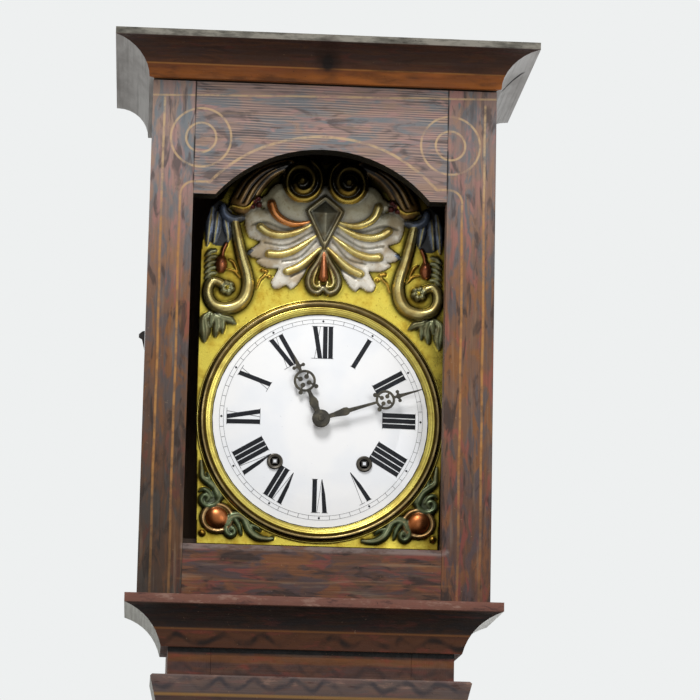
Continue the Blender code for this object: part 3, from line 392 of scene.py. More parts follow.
def panel_lines(g, panel):
    """A pair of brushed lines round a panel, given by its low and high x and z in metres."""
    x_low, z_low, x_high, z_high = panel
    masks = []
    for inset in PANEL_INSETS:
        beside = abs(g.x - (x_low + x_high) / 2) - ((x_high - x_low) / 2 - inset * MM)
        above = abs(g.z - (z_low + z_high) / 2) - ((z_high - z_low) / 2 - inset * MM)
        masks.append(line_mask(abs(g.largest([beside, above])), 1.2))
    return g.largest(masks) * g.normal()[1].ease(-0.5, -0.8)


@recipe
def board_wood(g, along, seed, panel=None):
    """Case boards that the photograph doesn't show, in the same paint."""
    palette = blended(g, g.z.ease(0, CASE_TOP), DEEP, WARM)
    palette[4] = g.mix(0.55, palette[4], palette[0])
    fine = graining(g, along, palette, seed)
    if panel:
        g.coat(panel_lines(g, panel) * rubbed_lines(g, 0.56), OCHRE_LINE)
    wear(g, fine)


@recipe
def hood_side_wood(g, seed):
    """Painted outside; bare inside, darkened as painted shade."""
    fine = graining(g, "Z", DEEP, seed)
    g.coat(abs(g.x).ease(*HOOD_SIDE_INSIDE, 1, 0), SHADED_BARE_INSIDE)
    wear(g, fine, 0.3)


@recipe
def bare_wood(g, along, seed, light, dark):
    rings = g.noise(seed, 38, 4, 0.6, 1.6, along, GRAIN)
    fine = g.noise(seed, 300, 3, 0.7, 0, along, COMB)
    g.colour = g.mix(rings.ease(0.38, 0.66), light, dark)
    g.coat(fine.ease(0.35, 0.6, 0.45, 0), dark)
    g.finish(fine.ease(0.3, 0.7, 0.62, 0.8), fine, 0.4, 0.6)


@recipe
def worn_edge(g, colour):
    """Rubbed arrises, shown on the small bevels of painted boards."""
    spots = g.noise(2, 120, 4, 0.7)
    g.colour = g.mix(spots.ease(0.4, 0.62), DEEP[0], colour)
    g.finish(0.6, spots, 0.4, 0.5)


# Metals, enamel and rope
BRASS = ((214, 178, 92), (150, 112, 56))
SQUARE_STEEL = ((62, 60, 58), (216, 217, 220))
SQUARE_FROM = (-0.018, -0.020)


@recipe
def polished(g, colour, dull, roughness, tarnish):
    """Brass, bronze or steel with tarnish clouds and fine scratches."""
    cloud = g.noise(4, 32, 5, 0.62)
    scratch = g.noise(6, 880, 3, 0.7, 0, "Z", 0.06)
    g.colour = g.mix(cloud.ease(0.45, 0.72, 0, tarnish), colour, dull)
    g.coat(scratch.ease(0.58, 0.74, 0, 0.35 * tarnish), dull)
    g.finish(cloud.ease(0.35, 0.7, roughness - 0.06, roughness + 0.16), scratch, 0.06, 0.35, Metallic=1)


@recipe
def forged(g, colour, rust, amount=0.5):
    """Hammered iron with a thin rust bloom."""
    bloom = g.noise(7, 210, 6, 0.7)
    g.colour = g.mix(bloom.ease(0.5, 0.68, 0, amount), colour, rust)
    hammered = g.noise(1, 70, 3, 0.5) + bloom * 0.3
    g.finish(bloom.ease(0.35, 0.7, 0.42, 0.75), hammered, 0.5, 0.5, Metallic=0.85)


@recipe
def enamel(g):
    """White fired enamel with faint unevenness and a few pin specks."""
    cloud = g.noise(2, 18, 3, 0.5)
    g.colour = g.mix(cloud.ease(0.4, 0.65), (252, 252, 252), (244, 246, 249))
    g.coat(g.noise(12, 380, 1).ease(0.79, 0.82, 0, 0.5), (150, 150, 150))
    g.finish(0.16, cloud, 0.25, 0.3, Coat_Weight=0.4)


@recipe
def hemp(g):
    fibre = g.noise(3, 900, 4, 0.7, 0, "Z", 0.25)
    g.colour = g.mix(fibre, (118, 94, 62), (190, 164, 118))
    g.finish(0.9, fibre, 0.3, 0.8)


@recipe
def ink(g):
    """The fired black of the figures, slightly blue and worn thin in places."""
    g.colour = g.mix(g.noise(5, 160, 4, 0.7).ease(0.56, 0.74), (16, 18, 24), (44, 48, 58))
    g.finish(0.45, Specular_IOR_Level=0.2)


@recipe
def barrel_metal(g):
    """Brass drums with the bright steel squares that stand out through the dial."""
    cloud = g.noise(4, 60, 5, 0.62)
    across = abs(abs(g.x - DIAL_X * MM) - WINDERS[1][0] * MM)
    rise = abs(g.z - (DIAL_Z + WINDERS[1][1]) * MM)
    bright = g.largest([across, rise]).ease(2.0 * MM, 1.1 * MM)
    g.colour = g.mix(cloud.ease(0.45, 0.72, 0, 0.5), *BRASS)
    g.coat(g.y.ease(*SQUARE_FROM), g.mix(bright, *SQUARE_STEEL))
    g.finish(cloud.ease(0.35, 0.7, 0.24, 0.42), cloud, 0.1, 0.3, Metallic=1)


# Mouldings whose paint runs in level bands: heights in metres, and colours at shares of the height
CROWN = (2.3025, 2.3435)
CROWN_STOPS = ((0.0, (150, 84, 28)), (0.12, (166, 94, 32)), (0.32, (126, 68, 28)), (0.352, (182, 122, 58)),
               (0.375, (84, 48, 26)), (0.55, (56, 35, 24)), (0.80, (50, 34, 28)), (0.83, (42, 32, 27)))
CROWN_GLOW_TO = (2.3170, 2.3155)
CROWN_FILLET = (2.3355, 2.3365)
KNOT = (1.0, 2322.0)
KNOT_FLATTEN = 0.8
CORNICE = (1.7158, 1.7655)
CORNICE_STOPS = ((0.0, (84, 50, 33)), (0.25, (90, 54, 33)), (0.325, (78, 47, 30)), (0.35, (126, 80, 40)),
                 (0.385, (38, 25, 19)), (0.48, (12, 8, 7)), (0.79, (7, 5, 4)), (0.82, (104, 67, 56)),
                 (1.0, (118, 78, 66)))
COLLAR = (1.639, 1.6875)
COLLAR_STOPS = ((0.0, (66, 46, 36)), (0.54, (62, 44, 38)), (0.57, (146, 110, 58)), (0.60, (146, 110, 58)),
                (0.63, (92, 78, 73)), (1.0, (104, 90, 86)))
# The neck's near-black top band and line are a painted shadow under the cornice.
NECK = (1.66, 1.7158)
NECK_STOPS = ((0.0, (80, 54, 46)), (0.72, (88, 60, 52)), (0.76, (128, 80, 46)), (0.86, (142, 90, 50)),
              (0.885, (96, 64, 46)), (0.91, (58, 40, 32)), (0.93, (12, 9, 7)), (1.0, (8, 6, 5)))
NECK_SHADOW = (1.7105, 1.7120)

# Brushed waves in metres: height, swing, half width, and how strong they are
WAVE_PITCH = 0.037
CORNICE_WAVE = (1.7240, 0.0040, 0.0042, 0.9)
COLLAR_WAVE = (1.6790, 0.0045, 0.0042, 0.8)
NECK_WAVE = (1.694, 0.005, 0.0045, 0.55)


@recipe
def crown_wood(g):
    """Worn grey fillet, dark cove with a knot, an ochre line and an orange-brown lower band."""
    fine = graining(g, "X", DEEP, 41)
    blotch = g.noise(44, 60, 4, 0.65, draw=0.25)
    g.coat(0.72, g.ramp(g.z, *CROWN, CROWN_STOPS))
    g.coat(blotch.ease(0.50, 0.68, 0, 0.6), (54, 34, 24))
    glow = g.noise(49, 40, 3, 0.6, draw=0.2).ease(0.48, 0.66, 0, 0.55)
    g.coat(glow * g.z.ease(*CROWN_GLOW_TO), (190, 110, 42))
    bare = g.noise(47, 110, 4, 0.7, draw=0.3)
    grey = g.mix(bare.ease(0.38, 0.62), (82, 79, 71), (128, 124, 114))
    grey = g.mix(bare.ease(0.30, 0.38, 0.8, 0), grey, (40, 36, 28))
    g.coat(g.z.ease(*CROWN_FILLET), grey)
    from_knot = from_point(g.x, (g.z - KNOT[1] * MM) * KNOT_FLATTEN, (KNOT[0], 0))
    halo = from_knot.ease(19 * MM, 7 * MM) * blotch.ease(0.36, 0.60, 0.3, 0.9)
    g.coat(halo, (40, 24, 17))
    g.coat(from_knot.ease(8 * MM, 3.5 * MM, 0, 0.9), (22, 14, 11))
    wear(g, fine, 0.35)


@recipe
def return_wood(g, light, dark, seed, split=None):
    """Bare grey ends of the crown, weathered, one with a crack between two (x, y) places in millimetres."""
    fine = g.noise(seed, 260, 4, 0.7, 0, "Y", COMB)
    stain = g.noise(seed, 40, 4, 0.62, 0, "Y", 0.3)
    g.colour = g.mix(stain.ease(0.36, 0.66), light, dark)
    g.coat(fine.ease(0.34, 0.5, 0.28, 0), (96, 90, 84))
    if split:
        (x0, y0), (x1, y1) = split
        slant = (x1 - x0) / (y1 - y0)
        line = g.y * slant + (x0 - slant * y0) * MM
        from_line = abs(g.x - line + (fine - 0.5) * (3 * MM))
        g.coat(line_mask(from_line, 1.8) * g.y.band(y0 * MM, y1 * MM, 6 * MM), (22, 20, 22))
    g.finish(0.8, fine, 0.3, 0.5)


def brushed_wave(g, centre, swing, half, strength):
    """A dark wave brushed along a moulding, coming and going."""
    turn = g.x * (2 * math.pi / WAVE_PITCH) + g.noise(17, 14, 2) * 11
    level = g.math("SINE", turn) * swing + centre
    patch = g.noise(29, 40).ease(0.36, 0.60, 0.12, 1)
    return abs(g.z - level).ease(1.3 * half, 0.1 * half, 0, strength) * patch


def bare_end(g, seed):
    """Bare grey wood of the returns, painted paler on the right as painted light."""
    streak = g.noise(seed, 260, 4, 0.7, 0, "Y", COMB).ease(0.36, 0.62)
    grey = g.mix(streak, (168, 166, 158), (198, 198, 190))
    pale = g.mix(streak, (236, 236, 232), (250, 250, 246))
    return g.mix(g.x.ease(-0.01, 0.01), grey, pale)


@recipe
def banded_wood(g, span, stops, seed, wave, tint, share=0.7):
    """A moulding in level bands, with a rubbed top fillet and wavy dark figuring brushed over it."""
    def level(part):
        return span[0] + part * (span[1] - span[0])

    fine = graining(g, "X", DEEP, seed)
    g.coat(share, g.ramp(g.z, *span, stops))
    foot = g.z.ease(level(0.34), level(0.30), 0.12, 0.5)
    g.coat(g.noise(seed + 6, 80, 3, 0.6, draw=0.3).ease(0.54, 0.68) * foot, (132, 62, 50))
    rubbed = g.noise(seed + 9, 130, 4, 0.7, draw=0.3)
    top = g.z.ease(level(0.80), level(0.82))
    g.coat(rubbed.ease(0.52, 0.66, 0, 0.7) * top, (142, 112, 98))
    g.coat(rubbed.ease(0.44, 0.32, 0, 0.8) * top, (66, 42, 38))
    g.coat(brushed_wave(g, *wave), tint)
    g.coat(abs(g.normal()[0]).ease(0.10, 0.25), bare_end(g, seed))
    wear(g, fine, 0.4)


@recipe
def neck_wood(g, along, seed):
    """The trunk's frame: its own grain below, one level painted band across the neck above, black at its top
    as painted shadow under the cornice.
    """
    fine = graining(g, along, blended(g, g.z.ease(0, CASE_TOP), DEEP, WARM), seed)
    below = g.colour
    graining(g, "X", DEEP, 61)
    g.coat(0.6, g.ramp(g.z, *NECK, NECK_STOPS))
    g.coat(g.noise(65, 80, 3, 0.6, draw=0.3).ease(0.54, 0.68, 0, 0.5), (142, 64, 52))
    g.coat(brushed_wave(g, *NECK_WAVE), (40, 35, 36))
    # Painted shadow under the cornice.
    g.coat(g.z.ease(*NECK_SHADOW), (10, 8, 7))
    g.colour = g.mix(g.z.ease(NECK[0], NECK[0] + MM), below, g.colour)
    wear(g, fine, 0.3)


# Camera, light and floor
def camera():
    yaw, pitch, roll = (math.radians(a) for a in (CAMERA_YAW, CAMERA_PITCH, CAMERA_ROLL))
    ahead = Vector((math.sin(yaw) * math.cos(pitch), math.cos(yaw) * math.cos(pitch), math.sin(pitch)))
    level = Vector((math.cos(yaw), -math.sin(yaw), 0.0))
    upward = level.cross(ahead)
    right = math.cos(roll) * level + math.sin(roll) * upward
    up = -math.sin(roll) * level + math.cos(roll) * upward
    data = bpy.data.cameras.new("camera")
    data.lens = CAMERA_LENS
    data.sensor_width = SENSOR
    data.sensor_fit = "HORIZONTAL"
    made = linked("camera", data)
    turn = Matrix((right, up, -ahead)).transposed()
    made.matrix_world = Matrix.Translation(CAMERA_PLACE) @ turn.to_4x4()
    bpy.context.scene.camera = made


def lamp(name, place, target, size, power):
    data = bpy.data.lights.new(name, "AREA")
    data.shape = "DISK"
    data.size = size
    data.energy = power
    made = linked(name, data)
    made.location = place
    aim = Vector(target) - Vector(place)
    made.rotation_euler = aim.to_track_quat("-Z", "Y").to_euler()


def world_light(strength, backdrop):
    """Even studio light; the camera, mirrors and clear parts see a plain pale backdrop."""
    world = bpy.data.worlds.new("studio")
    bpy.context.scene.world = world
    world.use_nodes = True
    nodes, link = world.node_tree.nodes, world.node_tree.links.new
    nodes.clear()
    mixed = nodes.new("ShaderNodeMixShader")
    for number, colour, power in ((1, tone(255, 255, 255), strength), (2, backdrop, 1.0)):
        light = nodes.new("ShaderNodeBackground")
        light.inputs["Color"].default_value = colour
        light.inputs["Strength"].default_value = power
        link(light.outputs[0], mixed.inputs[number])
    path = nodes.new("ShaderNodeLightPath")
    seen = path.outputs["Is Camera Ray"]
    for kind in ("Is Glossy Ray", "Is Transmission Ray"):
        either = nodes.new("ShaderNodeMath")
        either.operation = "MAXIMUM"
        link(seen, either.inputs[0])
        link(path.outputs[kind], either.inputs[1])
        seen = either.outputs[0]
    link(seen, mixed.inputs[0])
    link(mixed.outputs[0], nodes.new("ShaderNodeOutputWorld").inputs[0])


@recipe
def floor_paint(g):
    g.colour = g.mix(g.noise(0, 12), (226, 226, 224), (232, 232, 230))
    g.finish(0.85)


def studio():
    bpy.context.scene.view_settings.view_transform = "Standard"
    camera()
    world_light(0.36, tone(238, 240, 240))
    lamp("key", (-0.5, -2.2, 4.6), (0.0, -0.05, 1.95), 1.3, 86.0)
    lamp("fill", (1.7, -3.2, 2.2), (0.0, -0.05, 1.8), 1.8, 26.0)
    bm = bmesh.new()
    bmesh.ops.create_grid(bm, x_segments=2, y_segments=2, size=6.0)
    mesh_object("floor", bm, floor_paint("floor_paint"))


# Making pieces
def linked(name, data):
    made = bpy.data.objects.new(name, data)
    bpy.context.collection.objects.link(made)
    return made


def mesh_object(name, bm, material, smooth=False):
    data = bpy.data.meshes.new(name)
    bmesh.ops.recalc_face_normals(bm, faces=bm.faces)
    bm.to_mesh(data)
    bm.free()
    data.materials.append(material)
    if smooth:
        data.polygons.foreach_set("use_smooth", [True] * len(data.polygons))
    return linked(name, data)


def piece(name, bm, material, body, stands_for=(), smooth=False):
    """A new piece that rides on a body and takes its finish from a slot."""
    made = mesh_object(name, bm, material, smooth)
    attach(made, body)
    if stands_for:
        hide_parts(*stands_for)
    return made


def soften(thing, width, angle):
    """Small bevels, in millimetres, on edges sharper than an angle."""
    bevel = thing.modifiers.new("arris", "BEVEL")
    bevel.width = width * MM
    bevel.segments = 2
    bevel.limit_method = "ANGLE"
    bevel.angle_limit = math.radians(angle)
    return bevel


def dress(nodes, material, width=1.0, edge=None):
    """Gives solids their material, and small bevels that may show a worn edge."""
    for node in nodes.split():
        solid = NODES[node]
        solid.data.materials.clear()
        solid.data.materials.append(material)
        bevel = soften(solid, width, 40)
        if edge:
            solid.data.materials.append(edge)
            bevel.material = 1


RETURN_SPLIT = ((211.0, -62.0), (194.0, -14.0))


def dress_hood():
    edge = worn_edge("rubbed_edge", WORN)
    # The left stile keeps painted shade higher up; the right stile takes less painted light at its top.
    dress("hood_door_stile_left", door_wood("stile_left_paint", "Z", 1, 0.25, 0, DEEP_SHADE, 2.10), 1.2, edge)
    dress("hood_door_stile_right", door_wood("stile_right_paint", "Z", 4, 0.25, top_light=0.7), 1.2, edge)
    dress("hood_door_top_rail", door_wood("top_rail_paint", "X", 7, 0.35, 0.6), 1.0, edge)
    dress("hood_door_bottom_rail", door_wood("bottom_rail_paint", "X", 11, 0.3), 1.2, edge)
    dress("crown_front", crown_wood("crown_paint"), 1.4, edge)
    dress("crown_return_left", return_wood("return_left_wood", (206, 204, 201), (176, 173, 170), 2))
    # The right return is painted paler than the left as painted light.
    lit_end = return_wood("return_right_wood", (224, 223, 222), (194, 192, 190), 6, RETURN_SPLIT)
    dress("crown_return_right", lit_end)
    for side, seed in (("left", 14), ("right", 18)):
        dress("hood_side_" + side, hood_side_wood("hood_side_%s_paint" % side, seed), 1.0, edge)
    inside_pine = bare_wood("old_pine", "X", 5, (92, 70, 50), (62, 46, 34))
    dress("hood_top_board seat_board base_top_board", inside_pine)
    dress("backboard", bare_wood("back_pine", "Z", 9, (128, 100, 72), (92, 70, 50)))


def dress_case():
    edge = worn_edge("case_edge", (140, 112, 92))
    cornice = banded_wood("cornice_paint", CORNICE, CORNICE_STOPS, 51, CORNICE_WAVE, (27, 20, 18), 0.86)
    dress("lower_cornice", cornice, 0.8, edge)
    collar = banded_wood("collar_paint", COLLAR, COLLAR_STOPS, 57, COLLAR_WAVE, (50, 48, 53))
    dress("trunk_top_moulding", collar, 0.9, edge)
    dress("trunk_rail_top", neck_wood("neck_paint", "X", 61))
    for node, seed in (("trunk_stile_left", 69), ("trunk_stile_right", 72)):
        dress(node, neck_wood(node + "_paint", "Z", seed))
    door_low, door_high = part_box("trunk_door")
    base_low, base_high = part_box("base_front")
    skirt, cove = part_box("plinth_skirting")[1].z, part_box("base_top_moulding")[0].z
    panels = {"trunk_door": (door_low.x, door_low.z, door_high.x, door_high.z),
              "base_front": (base_low.x, skirt, base_high.x, cove)}
    boards = (("trunk_side_left", "Z", 63), ("trunk_side_right", "Z", 66), ("trunk_door", "Z", 75),
              ("base_front", "Z", 78), ("base_side_left", "Z", 81), ("base_side_right", "Z", 84),
              ("trunk_rail_bottom", "X", 87), ("base_top_moulding", "X", 90), ("plinth_skirting", "X", 93))
    for node, along, seed in boards:
        dress(node, board_wood(node + "_paint", along, seed, panels.get(node)), 1.0, edge)


def dress_movement():
    dark_iron = forged("dark_iron", (46, 45, 45), (70, 50, 38), 0.35)
    dress("movement_cage dial_backplate going_weight strike_weight",
          forged("black_iron", (70, 68, 66), (96, 66, 46)), 0.5)
    dress("hood_door_pull", dark_iron, 0.4)
    dress("minute_hand hour_hand", dark_iron, 0.1)
    dress("anchor pendulum_rod hammer cannon_pinion fly",
          polished("bright_steel", (176, 178, 182), (120, 116, 112), 0.3, 0.4), 0.2)
    dress("going_great_wheel centre_wheel third_wheel escape_wheel strike_great_wheel pin_wheel "
          "warning_wheel hour_wheel minute_wheel pendulum_bob trunk_door_knob",
          polished("wheel_brass", *BRASS, 0.3, 0.5), 0.15)
    dress("going_barrel strike_barrel", barrel_metal("barrel_brass"), 0.15)
    dress("bell", polished("bell_bronze", (196, 156, 96), (122, 92, 58), 0.26, 0.55), 0.3)
    dress("enamel_dial", enamel("dial_enamel"), 0.3)
    dress("brass_frontal dial_bezel", polished("gilt_brass", (216, 186, 84), (150, 116, 52), 0.3, 0.5), 0.3)
    dress("going_rope strike_rope", hemp("hemp_cord"), 0.1)


# The stamped frontal. Places are in millimetres from the dial centre, for its right half;
# the left half is its mirror image. A paint is a colour with its share of metal.
def paint(red, green, blue, metal):
    return (*tone(red, green, blue)[:3], metal)


GOLD = paint(216, 197, 84, 1.0)
OLD_GOLD = paint(176, 142, 62, 1.0)
DARK_GOLD = paint(118, 92, 48, 0.9)
RIM_GOLD = paint(176, 146, 100, 0.8)
SHADED_GOLD = paint(206, 176, 84, 0.95)
HORN_BROWN = paint(142, 112, 62, 0.45)
SILVERED = paint(198, 184, 122, 0.8)
NEAR_BLACK = paint(22, 18, 12, 0.6)
BOSS = paint(164, 100, 58, 0.9)
COPPER = paint(222, 150, 92, 0.9)
PALE_GOLD = paint(228, 210, 136, 0.75)
DROP = paint(214, 142, 104, 0.85)
BERRY = paint(152, 92, 60, 0.8)
WHITE = paint(226, 220, 206, 0.1)
SHADED_WHITE = paint(164, 158, 128, 0.2)
PEWTER = paint(138, 131, 104, 0.75)
FACET = paint(132, 130, 112, 0.65)
LEAF_GREEN = paint(88, 100, 68, 0.45)
OLIVE = paint(118, 118, 84, 0.5)
PALE_GREEN = paint(150, 152, 116, 0.5)
BLUE_GREY = paint(104, 116, 138, 0.4)
SHADE = paint(44, 46, 48, 0.4)
DARK_RED = paint(96, 40, 40, 0.4)

# The sheet, and its outline
SHEET_HALF = 129.5
SHEET_LOW = -132.0
SHEET_HIGH = 286.0
SHEET_FRONT = -27.3
SHEET_BACK = -25.5
SHEET_STEP = 1.0
SHEET_HOLE = 118.0
SHEET_EDGE = [(125.5, -132), (127, -60), (129.4, 0), (129.4, 176), (126.5, 206), (119.5, 226), (108, 236),
              (102, 248), (90, 260), (72, 271), (52, 278), (38, 282), (25, 284), (12, 281), (0, 276)]

# Painted shadow of the arch over the top: heights where shade on upward-facing flanks and full shade start
# and how far they take to build up, and a spot kept lit as a painted reflection
ARCH_SHADE = (214, 30)
ARCH_SHADOW = (238, 10)
GLINT_SPOT = (46, 263)
GLINT_REACH = (13, 7)
DENT_SEED = 7
DENTS = ((6, 0.35), (18, 0.9))

# The shell between the scrolls, the heart and the lozenge under it
SHELL = [(0, 184), (0, 252), (43, 253), (52.7, 251), (58, 246), (61.5, 240), (67.7, 236), (70, 230),
         (63, 224), (72, 227), (80, 227), (85, 220), (84, 210), (83, 203), (79, 194), (67.5, 189.5),
         (73, 184), (79.5, 178), (75, 172.5), (66, 171.5), (71, 168.5), (66, 164), (58.6, 161.5),
         (48.2, 161.5), (50.4, 154.3), (54.7, 147), (52.8, 140.5), (46.5, 139.5), (39, 144), (34, 139.5),
         (28, 144), (22.3, 153.3), (16.8, 163.7), (4, 181)]
SHELL_SHADING = (186, 42)
RIBS = [[(56.7, 230), (52.8, 220), (45.3, 213), (34.7, 209), (25, 209.5), (16, 212)],
        [(67.5, 204.5), (60.6, 199.5), (50, 196.5), (37.6, 197.5), (25, 202.5), (14, 209)],
        [(58, 176), (47.5, 175.5), (35, 179), (24, 185.5), (9, 197)],
        [(38.5, 157.5), (28.4, 162), (18, 170), (4, 184)]]
CREASES = [[(16, 208), (40, 203), (62, 210), (77, 207)], [(13, 201), (40, 186), (63, 188)],
           [(9, 191), (26, 173), (44, 168)], [(4, 184), (18, 163), (34, 152)]]
HEART = [(0, 184), (6.7, 169.5), (14.2, 156.5), (16, 146), (12.2, 138.5), (5.5, 136.5), (0.8, 141.5)]
HEART_INSIDE = [(1.2, 176), (5.4, 165), (9.6, 154), (10.4, 147), (7.6, 143), (3.8, 144), (4.6, 148)]
HEART_DROP = [(0, 179), (0, 166), (0, 153)]
KITE = [(0, 181), (20.4, 224), (0, 241), (-20.4, 224)]
KITE_RIM = 4.2

# Horns and volutes on top
HORN = [(38, 275), (57, 267), (69, 258), (79, 246), (87, 230)]
HORN_SIZES = (5.0, 7.5, 10.0, 12.0, 13.0)
HORN_MOUTH = [(75, 233), (84, 224), (99, 226)]
VOLUTE = (25, 256)

# The scroll with its leaves, berry, tendrils, rosette and buds
SCROLL = [(94.5, 208), (90.2, 188), (85.7, 170.3), (81.2, 156.2), (79, 143), (81.5, 130), (89, 120.5),
          (102, 116.4), (114.5, 119.6), (120.5, 129), (120.3, 138.6), (115.4, 145), (108.5, 143.5)]
CUP = [(108, 225), (105.5, 217), (97, 212), (87, 214)]
HANGING_LEAVES = (((106, 216), (103, 203), (101, 190)), ((113, 219), (114, 204), (116, 187)),
                  ((119, 224), (121, 205), (123, 184)))
BARB_TOP = 178
BARB_STEP = 6
BERRY_STALK = [(103, 186), (106, 179), (107, 172)]
TENDRILS = (([(100, 169), (95, 166), (90.5, 156)], (1.0, 1.6, 1.0), 2.6),
            ([(101, 158.5), (94, 156.5), (88, 150)], (0.9, 1.4, 1.0), 2.4),
            ([(70, 139), (66.6, 148), (61, 154)], (1.0, 1.4, 1.6), 2.6))
SPRIG_TIPS = ((60.5, 157.5), (57, 152), (64, 158.5))
ROSETTE = (101, 138.5)
BUDS = ((75, 232), (70, 228.5), (77, 226), (71, 235))

# The leaf under the scroll, and the bottom corner
ACANTHUS = (([(118, 111), (124, 104), (123, 91), (123, 81)], (2.2, 4.6, 6.0, 1.6)),
            ([(114, 109), (110.4, 101), (110.8, 93), (111.6, 87)], (2.0, 3.4, 3.8, 1.8)),
            ([(112, 109), (105.4, 103), (104.6, 96.5), (104.3, 91)], (1.8, 2.8, 3.0, 1.4)),
            ([(112, 110), (105, 106.5), (97.5, 104.5), (91.3, 100.5)], (2.0, 3.4, 4.2, 1.4)),
            ([(116, 110), (116.5, 102), (117, 97)], (2.0, 3.0, 1.6)))
BLADES = (([(103, -82), (107.8, -73), (114.5, -67.5), (120.5, -63), (121.6, -56), (122.6, -46)],
           (5.4, 4.6, 3.8, 2.6, 1.4)),
          ([(94, -111), (90, -104), (82.6, -101.8), (76, -105.5), (73, -112), (69, -119), (61.5, -124),
            (53, -125.3), (46.5, -124.5)], (4.6, 5.0, 4.4, 3.6, 1.6)))
CURL_FILLS = (((112.5, -85.5), 8.0), ((91.0, -115.5), 5.5))
CURLS = ([(102.5, -79), (103.5, -86.5), (108, -91.5), (114.5, -93), (120.5, -90), (121.6, -85),
          (118, -81.5), (114, -84.5), (116.2, -88)],
         [(93.6, -108), (95.2, -114), (94.4, -120), (90, -123), (86.2, -119.8), (87.4, -115.4), (90, -117.4)])
LEAFLETS = ([(111, -83), (114.3, -78), (120, -75.5), (123, -77.5)],
            [(114, -67), (114, -60.5), (116.8, -58.7)],
            [(86.4, -106), (82, -112), (79.4, -121.5)], [(69, -112), (63, -113.5), (59.5, -117)])
BOSS_PLACE = (104.5, -105)
CORNER_PEARL = (119.6, -120.8)


def smoothed(points, spacing=0.6):
    """A flowing line through the points, at an even spacing."""
    given = np.array(points, float)
    ends = np.vstack((2 * given[0] - given[1], given, 2 * given[-1] - given[-2]))
    line = []
    for a, b, c, d in zip(ends, ends[1:], ends[2:], ends[3:]):
        count = max(2, int(np.hypot(*(c - b)) / spacing))
        t = np.linspace(0.0, 1.0, count, endpoint=False)[:, None]
        line.append(0.5 * (2 * b + (c - a) * t + (2 * a - 5 * b + 4 * c - d) * t ** 2
                           + (3 * b - a - 3 * c + d) * t ** 3))
    return np.vstack((*line, given[-1:]))


def edge_distance(x, z, corners, closed=True):
    """Distance to the nearest edge of an outline, and the nearest point on it."""
    best = np.full(np.shape(x), np.inf)
    near = np.zeros(np.shape(x) + (2,))
    following = corners[1:] + corners[:1] if closed else corners[1:]
    for (ax, az), (bx, bz) in zip(corners, following):
        long = (bx - ax) ** 2 + (bz - az) ** 2
        t = np.clip(((x - ax) * (bx - ax) + (z - az) * (bz - az)) / long, 0.0, 1.0)
        px, pz = ax + t * (bx - ax), az + t * (bz - az)
        distance = np.hypot(x - px, z - pz)
        closer = distance < best
        best = np.where(closer, distance, best)
        near[closer] = np.stack((px, pz), -1)[closer]
    return best, near


def inside(x, z, corners):
    """Whether points are in an outline, by counting the edges crossed."""
    found = np.zeros(np.shape(x), bool)
    for (ax, az), (bx, bz) in zip(corners, corners[1:] + corners[:1]):
        if az != bz:
            crossing = (az > z) != (bz > z)
            found ^= crossing & (x < (bx - ax) * (z - az) / (bz - az) + ax)
    return found


def blurred(field, reach):
    """A soft average over a few cells each way."""
    steps = np.arange(-3 * reach, 3 * reach + 1)
    weights = np.exp(-0.5 * (steps / reach) ** 2)
    weights /= weights.sum()
    for axis in (0, 1):
        margins = [(3 * reach, 3 * reach) if a == axis else (0, 0) for a in (0, 1)]
        padded = np.pad(field, margins, mode="edge")
        field = sum(w * np.take(padded, range(i, i + field.shape[axis]), axis) for i, w in enumerate(weights))
    return field


def build_up(value, start, span):
    """From 0 at a start to 1 a span further on."""
    return np.clip((value - start) / span, 0.0, 1.0)


